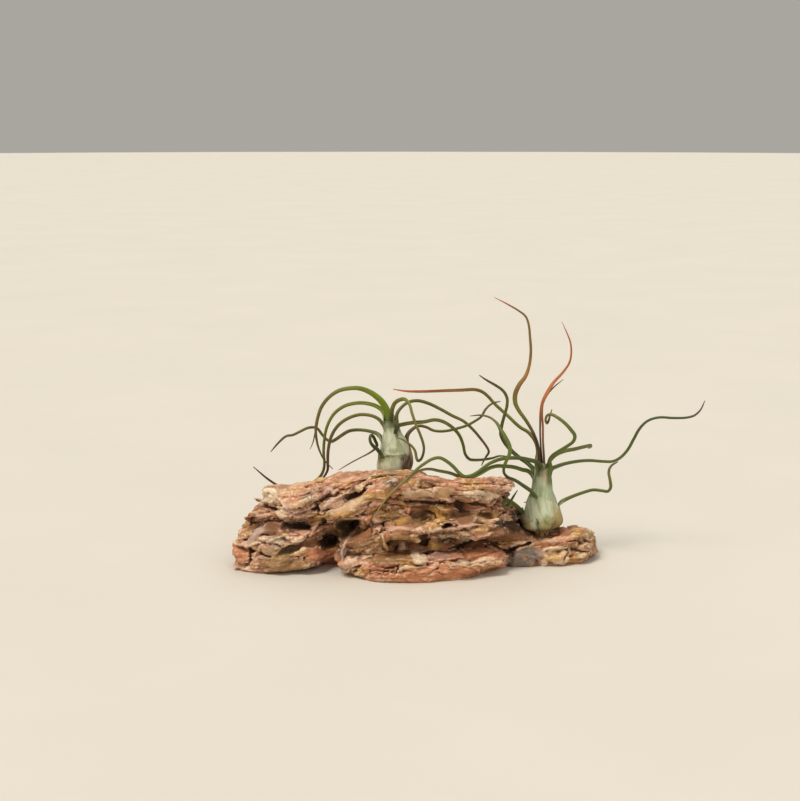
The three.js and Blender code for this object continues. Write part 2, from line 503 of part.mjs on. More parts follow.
// A slab with rounded plan and edges, weathered.
function slab({ centre, half, turn, rise, fall }) {
  const [nx, ny] = half.map((size) => Math.max(3, Math.round(2 * size / FACET)));
  const nz = Math.max(2, Math.round(2 * half[2] / RIM_FACET));
  const box = new THREE.BoxGeometry(2, 2, 2, nx, ny, nz);
  box.deleteAttribute("normal");
  box.deleteAttribute("uv");
  const geometry = mergeVertices(box, 1e-4);
  const angles = new THREE.Euler(-fall * RADIANS, -rise * RADIANS, turn * RADIANS, "ZYX");
  const turned = new THREE.Quaternion().setFromEuler(angles);
  const position = geometry.attributes.position;
  const point = new THREE.Vector3();
  const outward = new THREE.Vector3();
  for (let index = 0; index < position.count; index += 1) {
    point.fromBufferAttribute(position, index);
    const { x, y, z } = point;
    const edge = 1 - EDGE_ROUNDING * z ** 4;
    point.x = x * Math.sqrt(1 - CORNER_ROUNDING * y * y) * edge;
    point.y = y * Math.sqrt(1 - CORNER_ROUNDING * x * x) * edge;
    outward.set(point.x / half[0], point.y / half[1], point.z / half[2]).normalize();
    point.multiply(new THREE.Vector3(...half)).applyQuaternion(turned).add(new THREE.Vector3(...centre));
    outward.applyQuaternion(turned);
    weather(point, outward, 1);
    position.setXYZ(index, point.x, point.y, point.z);
  }
  return toSolid(geometry);
}

// A rounded hole, to be cut out of the slabs.
function hollow({ centre, half }) {
  const ball = new THREE.IcosahedronGeometry(1, 3);
  ball.deleteAttribute("normal");
  ball.deleteAttribute("uv");
  const geometry = mergeVertices(ball, 1e-4);
  const position = geometry.attributes.position;
  const point = new THREE.Vector3();
  const outward = new THREE.Vector3();
  for (let index = 0; index < position.count; index += 1) {
    outward.fromBufferAttribute(position, index);
    point.copy(outward).multiply(new THREE.Vector3(...half)).add(new THREE.Vector3(...centre));
    weather(point, outward, HOLLOW_WEAR);
    position.setXYZ(index, point.x, point.y, point.z);
  }
  return toSolid(geometry);
}

// The seat that a bulb nestles in: the bulb's own lower outline, a little larger, open upwards.
function seat(bulb) {
  return turned(bulb, SEAT_ROWS, (height) => (
    Math.max(SEAT_RADIUS, along(bulb.outline, height) + SEAT_CLEARANCE)));
}

function stoneSolid() {
  const rough = join(LEDGES.map(slab));
  const worn = HOLLOWS.map(hollow).reduce((whole, part) => whole.subtract(part), rough);
  const block = new THREE.BoxGeometry(...FLOOR_BLOCK).translate(0, 0, FLOOR_BLOCK[2] / 2);
  const standing = worn.intersect(toSolid(block));
  return [RIGHT_BULB, LEFT_BULB].reduce((whole, bulb) => whole.subtract(seat(bulb)), standing);
}

// ---------------------------------------------------------------- the object

function piece(name, solid, colour, roughness) {
  const material = new THREE.MeshStandardMaterial({ color: COLOURS[colour], roughness, metalness: 0 });
  material.flatShading = true;
  const mesh = new THREE.Mesh(toGeometry(solid), material);
  mesh.name = name;
  return mesh;
}

function plant(name, bulb, top, leaves, young, rootDirections, heartColour) {
  const group = new THREE.Group();
  group.add(piece(`${name}_heart`, heartSolid(bulb, top, young, rootDirections), heartColour, 0.6));
  leaves.forEach((leaf) => group.add(piece(`${name}_${leaf.name}`, leafSolid(bulb, leaf), leaf.colour,
    0.5)));
  return group;
}

const arrangement = new THREE.Group();
arrangement.add(piece("stone", stoneSolid(), "stone", 0.9));
arrangement.add(plant("left", LEFT_BULB, 36, LEFT_LEAVES, LEFT_YOUNG, [40, 130, 220, 310], "fresh"));
arrangement.add(plant("right", RIGHT_BULB, 48, RIGHT_LEAVES, RIGHT_YOUNG, [20, 100, 190, 280, 330],
  "amber"));

export default arrangement;
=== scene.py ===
"""Two bulb-based air plants on one layered stone: the looks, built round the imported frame."""

import math

import bmesh
import bpy
import numpy as np
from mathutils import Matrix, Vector


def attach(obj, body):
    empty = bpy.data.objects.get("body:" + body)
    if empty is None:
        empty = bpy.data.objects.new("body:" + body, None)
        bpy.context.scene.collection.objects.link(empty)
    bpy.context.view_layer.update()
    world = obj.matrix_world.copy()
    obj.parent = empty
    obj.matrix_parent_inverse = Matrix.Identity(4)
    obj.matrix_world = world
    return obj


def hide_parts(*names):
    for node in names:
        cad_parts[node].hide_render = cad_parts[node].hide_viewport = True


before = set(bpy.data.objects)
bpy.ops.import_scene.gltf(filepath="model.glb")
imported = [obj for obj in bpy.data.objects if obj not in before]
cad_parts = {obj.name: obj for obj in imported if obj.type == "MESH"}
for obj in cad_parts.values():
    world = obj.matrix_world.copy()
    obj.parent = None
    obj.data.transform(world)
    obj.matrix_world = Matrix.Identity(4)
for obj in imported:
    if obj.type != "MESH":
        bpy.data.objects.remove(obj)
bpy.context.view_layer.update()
MM = 0.001
TURN = 2 * math.pi

# ---------------------------------------------------------------- camera, floor and lights

TARGET = Vector((-9, 0, 105.65)) * MM
DISTANCE = 1083 * MM
PITCH = math.radians(10)
TO_CAMERA = (0, -math.cos(PITCH), math.sin(PITCH))
PICTURE_UP = (0, math.sin(PITCH), math.cos(PITCH))
LENS = 75
SENSOR_WIDTH = 36

FLOOR_RADIUS = 10.0
FLOOR_SIDES = 64
FLOOR_COLOUR = (0.66, 0.63, 0.57, 1)

# Soft lights: the direction each comes from, its strength, how wide it is in degrees, and its colour.
LIGHTS = {
    "key": ((-0.50, -0.50, 1.05), 2.3, 24, (1.0, 0.94, 0.84)),
    "sky": ((0.15, 0.55, 1.00), 0.7, 60, (1.0, 0.96, 0.88)),
    "fill": ((0.80, -1.10, 0.60), 0.7, 60, (1.0, 0.93, 0.82)),
}
WORLD_COLOUR = (1.0, 0.95, 0.87, 1)
WORLD_STRENGTH = 0.40


def placed(name, data):
    """A new object with this data, in the scene."""
    made = bpy.data.objects.new(name, data)
    bpy.context.scene.collection.objects.link(made)
    return made


def mesh_object(name, points, faces):
    mesh = bpy.data.meshes.new(name)
    mesh.from_pydata([tuple(p) for p in points], [], faces)
    mesh.update()
    return placed(name, mesh)


def aim(thing, target):
    thing.rotation_euler = (target - thing.location).to_track_quat("-Z", "Y").to_euler()


def build_studio():
    scene = bpy.context.scene
    camera = placed("camera", bpy.data.cameras.new("camera"))
    camera.data.lens = LENS
    camera.location = TARGET + Vector(TO_CAMERA) * DISTANCE
    aim(camera, TARGET)
    scene.camera = camera
    scene.view_settings.view_transform = "Standard"
    for name, (side, strength, width, colour) in LIGHTS.items():
        lamp = placed(name, bpy.data.lights.new(name, "SUN"))
        lamp.data.angle = math.radians(width)
        lamp.data.energy = strength
        lamp.data.color = colour
        lamp.location = side
        aim(lamp, Vector((0, 0, 0)))
    world = bpy.data.worlds.new("studio")
    world.use_nodes = True
    background = world.node_tree.nodes["Background"]
    background.inputs["Color"].default_value = WORLD_COLOUR
    background.inputs["Strength"].default_value = WORLD_STRENGTH
    scene.world = world
    build_floor()


def build_floor():
    turns = [TURN * i / FLOOR_SIDES for i in range(FLOOR_SIDES)]
    rim = [(FLOOR_RADIUS * math.cos(turn), FLOOR_RADIUS * math.sin(turn), 0) for turn in turns]
    floor = mesh_object("floor", rim, [tuple(range(FLOOR_SIDES))])
    made, nodes, shader = material("pale_floor", 0.75)
    tint = nodes.remap(nodes.noise(nodes.place(), scale=6.0), 0.3, 0.7, 0.97, 1.0)
    nodes.put(shader.inputs["Base Color"], nodes.dimmed(FLOOR_COLOUR, tint))
    floor.data.materials.append(made)


# ---------------------------------------------------------------- node trees

class Nodes:
    """Short ways to add nodes to a tree: an input is a number, a vector or another node's output."""

    def __init__(self, tree):
        self.tree = tree
        self.input = None
        self.output = None

    def put(self, socket, value):
        if isinstance(value, bpy.types.NodeSocket):
            self.tree.links.new(value, socket)
        elif value is not None:
            socket.default_value = value

    def add(self, kind, inputs=(), out=0, **settings):
        node = self.tree.nodes.new(kind)
        for key, value in settings.items():
            setattr(node, key, value)
        for key, value in dict(inputs).items():
            self.put(node.inputs[key], value)
        return node if out is None else node.outputs[out]

    def group(self, name, inputs):
        return self.add("ShaderNodeGroup", inputs, None, node_tree=bpy.data.node_groups[name]).outputs

    def math(self, operation, *values):
        return self.add("ShaderNodeMath", enumerate(values), operation=operation)

    def weighted(self, *parts):
        """The sum of some values, each times its weight."""
        (value, weight), *others = parts
        total = self.math("MULTIPLY", value, weight)
        for value, weight in others:
            total = self.math("MULTIPLY_ADD", value, weight, total)
        return total

    def vector(self, operation, *values):
        return self.add("ShaderNodeVectorMath", enumerate(values), operation=operation)

    def scaled(self, vector, factor):
        return self.add("ShaderNodeVectorMath", {0: vector, "Scale": factor}, operation="SCALE")

    def combined(self, *values):
        return self.add("ShaderNodeCombineXYZ", enumerate(values))

    def place(self):
        return self.add("ShaderNodeTexCoord", out="Object")

    def attribute(self, name, out="Fac"):
        return self.add("ShaderNodeAttribute", out=out, attribute_name=name)

    def remap(self, value, low, high, to_low=0.0, to_high=1.0, smooth=True):
        names = {"Value": value, "From Min": low, "From Max": high, "To Min": to_low, "To Max": to_high}
        style = "SMOOTHSTEP" if smooth else "LINEAR"
        return self.add("ShaderNodeMapRange", names, interpolation_type=style)

    def noise(self, vector, scale, detail=3.0, roughness=0.5, distortion=0.0):
        names = {"Vector": vector, "Scale": scale, "Detail": detail, "Roughness": roughness,
                 "Distortion": distortion}
        return self.add("ShaderNodeTexNoise", names)

    def mix(self, factor, a, b, blend="MIX"):
        return self.add("ShaderNodeMix", {0: factor, 6: a, 7: b}, 2, data_type="RGBA", blend_type=blend)

    def dimmed(self, colour, value):
        """A colour with each of its parts multiplied by the same value."""
        even = self.add("ShaderNodeCombineColor", {0: value, 1: value, 2: value})
        return self.mix(1.0, colour, even, "MULTIPLY")

    def ramp(self, factor, stops):
        node = self.add("ShaderNodeValToRGB", {"Fac": factor}, None)
        band = node.color_ramp
        while len(band.elements) < len(stops):
            band.elements.new(0.5)
        for element, (place, colour) in zip(band.elements, stops):
            element.position = place
            element.color = (*colour, 1)
        return node.outputs["Color"]

    def bump(self, height, strength, distance, normal=None):
        names = {"Height": height, "Strength": strength, "Distance": distance, "Normal": normal}
        return self.add("ShaderNodeBump", names)


def group_tree(name, kind, inputs, outputs):
    """A node group with named sockets: (name, socket type, value) in, (name, socket type) out."""
    tree = bpy.data.node_groups.new(name, kind)
    for label, socket_type, value in inputs:
        socket = tree.interface.new_socket(label, in_out="INPUT", socket_type=socket_type)
        if value is not None:
            socket.default_value = value
    for label, socket_type in outputs:
        tree.interface.new_socket(label, in_out="OUTPUT", socket_type=socket_type)
    nodes = Nodes(tree)
    nodes.input = tree.nodes.new("NodeGroupInput")
    nodes.output = tree.nodes.new("NodeGroupOutput")
    return nodes


def material(name, roughness):
    """A material, the short node builder for it, and its Principled shader."""
    made = bpy.data.materials.new(name)
    made.use_nodes = True
    shader = made.node_tree.nodes["Principled BSDF"]
    shader.inputs["Roughness"].default_value = roughness
    return made, Nodes(made.node_tree), shader


# ---------------------------------------------------------------- numbers over arrays

def smooth(low, high, value):
    share = np.clip((value - low) / (high - low), 0, 1)
    return share * share * (3 - 2 * share)


def mix(a, b, share):
    return a + (b - a) * share


def unit(vectors):
    return vectors / np.maximum(np.linalg.norm(vectors, axis=-1, keepdims=True), 1e-12)


def eased(rows, at, column=1):
    """Smooth value of a table of [position, value ...] rows."""
    places = np.array([row[0] for row in rows], float)
    values = np.array([row[column] for row in rows], float)
    slopes = np.gradient(values, places)
    at = np.clip(np.asarray(at, float), places[0], places[-1])
    i = np.clip(np.searchsorted(places, at, side="right") - 1, 0, len(places) - 2)
    width = places[i + 1] - places[i]
    t = (at - places[i]) / width
    start = values[i] * (2 * t ** 3 - 3 * t ** 2 + 1) + slopes[i] * width * (t ** 3 - 2 * t ** 2 + t)
    end = values[i + 1] * (3 * t ** 2 - 2 * t ** 3) + slopes[i + 1] * width * (t ** 3 - t ** 2)
    return start + end


LATTICE = 256           # cells after which the noise repeats
LATTICE_SEED = 11
SEED_SHIFT = 17.31      # how far apart the noises of two seeds are taken
NOISE_GAIN = 1.7        # brings the noise to about -1 to 1
BLOCK_DRIFT = 0.42      # how far the heart of a block strays from its cell's middle
BLOCK_SHIFT = 37        # how many cells apart the blocks of two seeds are taken

_draw = np.random.default_rng(LATTICE_SEED)
SHUFFLE = np.tile(_draw.permutation(LATTICE), 2)
SLOPES = unit(_draw.normal(size=(LATTICE, 3)))


def drawn_number(cell):
    """A random whole number for each cell of the lattice."""
    x, y, z = (cell % LATTICE).T
    return SHUFFLE[SHUFFLE[SHUFFLE[x] + y] + z]


def noise(points, seed=0):
    """Gradient noise, about -1 to 1, at an array of points."""
    points = points + seed * SEED_SHIFT
    cell = np.floor(points).astype(int)
    inside = points - cell
    ease = inside ** 3 * (inside * (inside * 6 - 15) + 10)
    total = np.zeros(len(points))
    for corner in np.ndindex(2, 2, 2):
        slope = SLOPES[drawn_number(cell + corner)]
        weight = np.where(np.array(corner) == 1, ease, 1 - ease).prod(1)
        total += weight * (slope * (inside - corner)).sum(1)
    return total * NOISE_GAIN


def layered_noise(points, octaves, seed=0):
    return sum(noise(points * 2 ** i, seed + i) / 2 ** i for i in range(octaves))


def blocks(points, seed):
    """For each point: a random number, 0 to 1, of the block it is in, and its distance to the wall."""
    cell = np.floor(points).astype(int)
    nearest = np.full(len(points), np.inf)
    second = nearest.copy()
    number = np.zeros(len(points))
    for corner in np.ndindex(3, 3, 3):
        other = cell + np.array(corner) - 1
        drawn = drawn_number(other + seed * BLOCK_SHIFT)
        heart = other + 0.5 + BLOCK_DRIFT * SLOPES[drawn]
        away = np.linalg.norm(points - heart, axis=1)
        closer = away < nearest
        second = np.where(closer, nearest, np.minimum(second, away))
        nearest = np.where(closer, away, nearest)
        number = np.where(closer, drawn / (LATTICE - 1), number)
    return number, second - nearest


# ---------------------------------------------------------------- bulbs

SKIN_PITCH = 0.6        # from one leaf sheath in to the next, millimetres
SKIN_THICKNESS = 0.62
SKIN_FOOT = -0.6        # height of the outermost sheath's lower edge
SKIN_RISE = 0.5         # how much higher each inner one starts
SKIN_SWELL = 2.2        # height over which a sheath swells out from the stem
STEM_RADIUS = 4.4
HEART_LAYER = 4         # the layer of the inner bulb, under all the sheaths

# Each bulb, in millimetres, heights above its base and degrees from the front: its centre line (height, x,
# y), its outline (height, radius), the heights over which each layer of sheaths ends, the notches at its
# foot (direction, breadth, two heights over which they end, depth), lobes (direction, breadth, height,
# tallness, how far out), the directions of its roots, and its stains and painted shade (direction, height,
# breadth, tallness, tone, strength). The umber spots at the right bulb's notches and foot, and the thin
# dark lines under the step of the left bulb's upper sheath, are painted shade.
BULBS = {
    "right": {
        "base": 15,
        "centre": [[0, 84.5, 5], [50, 84.3, 5]],
        "outline": [[0, 4.4], [2.8, 5.4], [4.4, 8.8], [6, 11.8], [8, 13.5], [10, 13.8], [15.8, 12.5],
                    [21.6, 10.8], [27, 9.0], [30, 7.7], [33, 6.9], [39, 6.0], [45, 5.1], [50, 4.4]],
        "layer_ends": [[18.5, 24], [28, 34], [41.5, 48]],
        "notches": [(-18, 6, 9.5, 14, 2.3), (38, 9, 5, 12, 3.0), (110, 12, 6, 12, 2.4), (-95, 10, 5, 11, 2.4),
                    (180, 12, 6, 12, 2.4)],
        "lobes": [(-52, 24, 7, 6, 0.9), (8, 18, 5, 5, 0.7), (72, 26, 9, 8, 0.7)],
        "top": 48,
        "roots": [20, 60, 100, 150, 190, 235, 280, 330],
        "stains_and_shade": [(-55, 7, 26, 9, "khaki", 0.7), (-40, 5, 12, 5, "tan", 0.55),
                   (-62, 14, 12, 6, "blush", 0.4), (7, 9, 20, 7, "straw", 0.8), (10, 13, 13, 4, "moss", 0.7),
                   (8, 4, 18, 3, "straw", 0.9), (66, 8, 30, 12, "khaki", 0.8), (46, 18, 14, 9, "tan", 0.6),
                   (56, 12, 10, 6, "straw", 0.5), (32, 10, 7, 5, "moss", 0.75), (22, 12, 7, 4, "khaki", 0.6),
                   # Painted shade: the umber spots at -17, -20 and 40 degrees darken the notches and the
                   # foot.
                   (-42, 7, 9, 4, "blush", 0.5), (-17, 10.5, 5, 3.5, "umber", 0.95),
                   (-20, 2, 8, 5, "umber", 0.8), (40, 1, 8, 6, "umber", 0.85), (-8, 19, 24, 6, "pale", 0.6),
                   (-14, 24, 9, 7, "moss", 0.35), (4, 42, 26, 7, "blush", 0.75),
                   (-8, 45, 16, 3, "mauve", 0.5), (70, 42, 24, 7, "deep", 0.9), (-30, 46, 14, 3, "deep", 0.8),
                   (-12, 36, 30, 4, "pale", 0.5), (20, 39, 16, 5, "blush", 0.5)],
    },
    "left": {
        "base": 54.2,
        "centre": [[0, -13, 15], [17, -12.2, 15], [27, -14.2, 15], [37, -16, 15]],
        "outline": [[0, 10.2], [3, 11.4], [7.8, 11.9], [11.8, 11.4], [17, 10.2], [22, 8.7], [27, 6.6],
                    [32.5, 5.2], [37, 4.5]],
        "layer_ends": [[19.5, 24.5], [28, 33], [32, 37]],
        "notches": [(-50, 8, 3, 7, 1.2), (120, 12, 4, 9, 1.5), (200, 12, 4, 9, 1.5)],
        "lobes": [(-70, 26, 5, 5, 0.6), (84, 22, 9, 8, 0.5)],
        "top": 36,
        "roots": [10, 60, 130, 175, 220, 265, 310],
        "stains_and_shade": [(40, 7.5, 26, 8, "plum", 0.97), (58, 4, 22, 7, "umber", 0.8),
                   (80, 12, 10, 8, "amber", 0.75), (88, 6, 10, 6, "khaki", 0.7),
                   (-48, 9, 14, 4, "olive", 0.8), (-14, 2.5, 30, 2.6, "moss", 0.75),
                   # Painted shadow: the thin umber and plum lines at heights 13.4 and 13 lie under the step
                   # of the upper sheath.
                   (-6, 10, 12, 3, "moss", 0.4), (-22, 13.4, 26, 1.0, "umber", 0.7),
                   (32, 13.0, 20, 2.4, "plum", 0.85), (-10, 17, 24, 2.2, "moss", 0.7),
                   (22, 19, 18, 6, "moss", 0.6), (-34, 6, 22, 4, "pale", 0.7), (-24, 22, 18, 5, "pale", 0.6),
                   (26, 27.5, 13, 3.2, "deep", 0.85), (-2, 30, 8, 4, "spring", 0.3)],
    },
}


def layer_radius(bulb, layer, height):
    ended = sum(smooth(low, high, height) for low, high in bulb["layer_ends"])
    full = eased(bulb["outline"], height) - SKIN_PITCH * np.maximum(0, layer - ended)
    start = SKIN_FOOT + SKIN_RISE * layer
    return mix(STEM_RADIUS, full, smooth(start, start + SKIN_SWELL, height))


def bulb_centre(bulb, height):
    x, y = (eased(bulb["centre"], height, column) for column in (1, 2))
    return np.stack([x, y, bulb["base"] + height], -1)


def radial(direction):
    angle = np.radians(direction)
    return np.stack([np.sin(angle), -np.cos(angle), np.zeros_like(angle)], -1)


# ---------------------------------------------------------------- leaves

BLADE_STEP = 1.3        # spacing of the sections along a blade, millimetres
ROUTE_STEPS = 12        # steps of the spline between two points of a route
SHEATH_SECTIONS = 22
SHEATH_END = 1.0        # how far below the height of its blade a sheath's last section lies
SHOULDER = (0.35, 1.05)  # shares of its height over which a sheath narrows, unless its leaf says otherwise
FACING_EASE = 1.5       # over 1, a sheath turns more towards its top
ROLL = 2.25             # half the angle that a rolled blade wraps round, radians
TIP_ROLL = 2.9          # and at its tip
TIP_START = 0.7         # share of the blade where that closing starts
UNFURL = 6.0            # length over which a sheath rolls up into its blade
BLADE_THICKNESS = 0.95
THICKEST = 0.36         # the most that a blade's thickness takes of its width
NECK_THICKNESS = 1.25 * SKIN_THICKNESS

# How a blade's width changes from its root, 0, to its tip, 1. Some swell again where they turn.
NARROWING = {
    "even": [[0, 1], [0.1, 0.84], [0.3, 0.74], [0.6, 0.66], [0.8, 0.54], [0.93, 0.38], [1, 0.16]],
    "twist": [[0, 1], [0.12, 0.84], [0.3, 0.7], [0.46, 0.6], [0.54, 0.7], [0.61, 0.86], [0.68, 0.88],
              [0.75, 0.66], [0.81, 0.46], [0.9, 0.36], [1, 0.12]],
    "curl": [[0, 1.1], [0.12, 0.9], [0.3, 0.66], [0.5, 0.58], [0.62, 0.42], [0.72, 0.33], [0.9, 0.25],
             [1, 0.1]],
    "arch": [[0, 1], [0.14, 1.0], [0.28, 0.78], [0.42, 0.6], [0.6, 0.46], [0.8, 0.34], [1, 0.12]],
    "swan": [[0, 0.7], [0.25, 0.8], [0.36, 0.95], [0.44, 1.15], [0.5, 1.1], [0.58, 0.8], [0.72, 0.62],
             [0.86, 0.46], [0.95, 0.3], [1, 0.12]],
    "flame": [[0, 0.55], [0.35, 0.62], [0.44, 0.85], [0.52, 1.0], [0.6, 0.8], [0.72, 0.58], [0.85, 0.45],
              [0.94, 0.3], [1, 0.1]],
    "hidden": [[0, 0.8], [0.3, 0.6], [0.6, 0.42], [0.78, 0.42], [0.9, 0.34], [1, 0.12]],
    "stout": [[0, 1], [0.3, 0.86], [0.6, 0.8], [0.85, 0.7], [1, 0.3]],
}

TONES = {
    "sage": (0.36, 0.43, 0.26),
    "pale": (0.56, 0.61, 0.45),
    "khaki": (0.33, 0.25, 0.085),
    "tan": (0.42, 0.27, 0.10),
    "blush": (0.44, 0.33, 0.22),
    "mauve": (0.40, 0.30, 0.25),
    "moss": (0.15, 0.19, 0.035),
    "straw": (0.36, 0.33, 0.11),
    "spring": (0.20, 0.29, 0.012),
    "green": (0.092, 0.122, 0.010),
    "deep": (0.042, 0.062, 0.007),
    "olive": (0.125, 0.115, 0.014),
    "brown": (0.115, 0.050, 0.012),
    "umber": (0.060, 0.022, 0.009),
    "plum": (0.050, 0.020, 0.016),
    "rust": (0.36, 0.095, 0.018),
    "orange": (0.50, 0.150, 0.035),
    "ochre": (0.32, 0.17, 0.025),
    "fern": (0.165, 0.185, 0.012),
    "amber": (0.29, 0.125, 0.012),
    "bronze": (0.17, 0.095, 0.010),
}

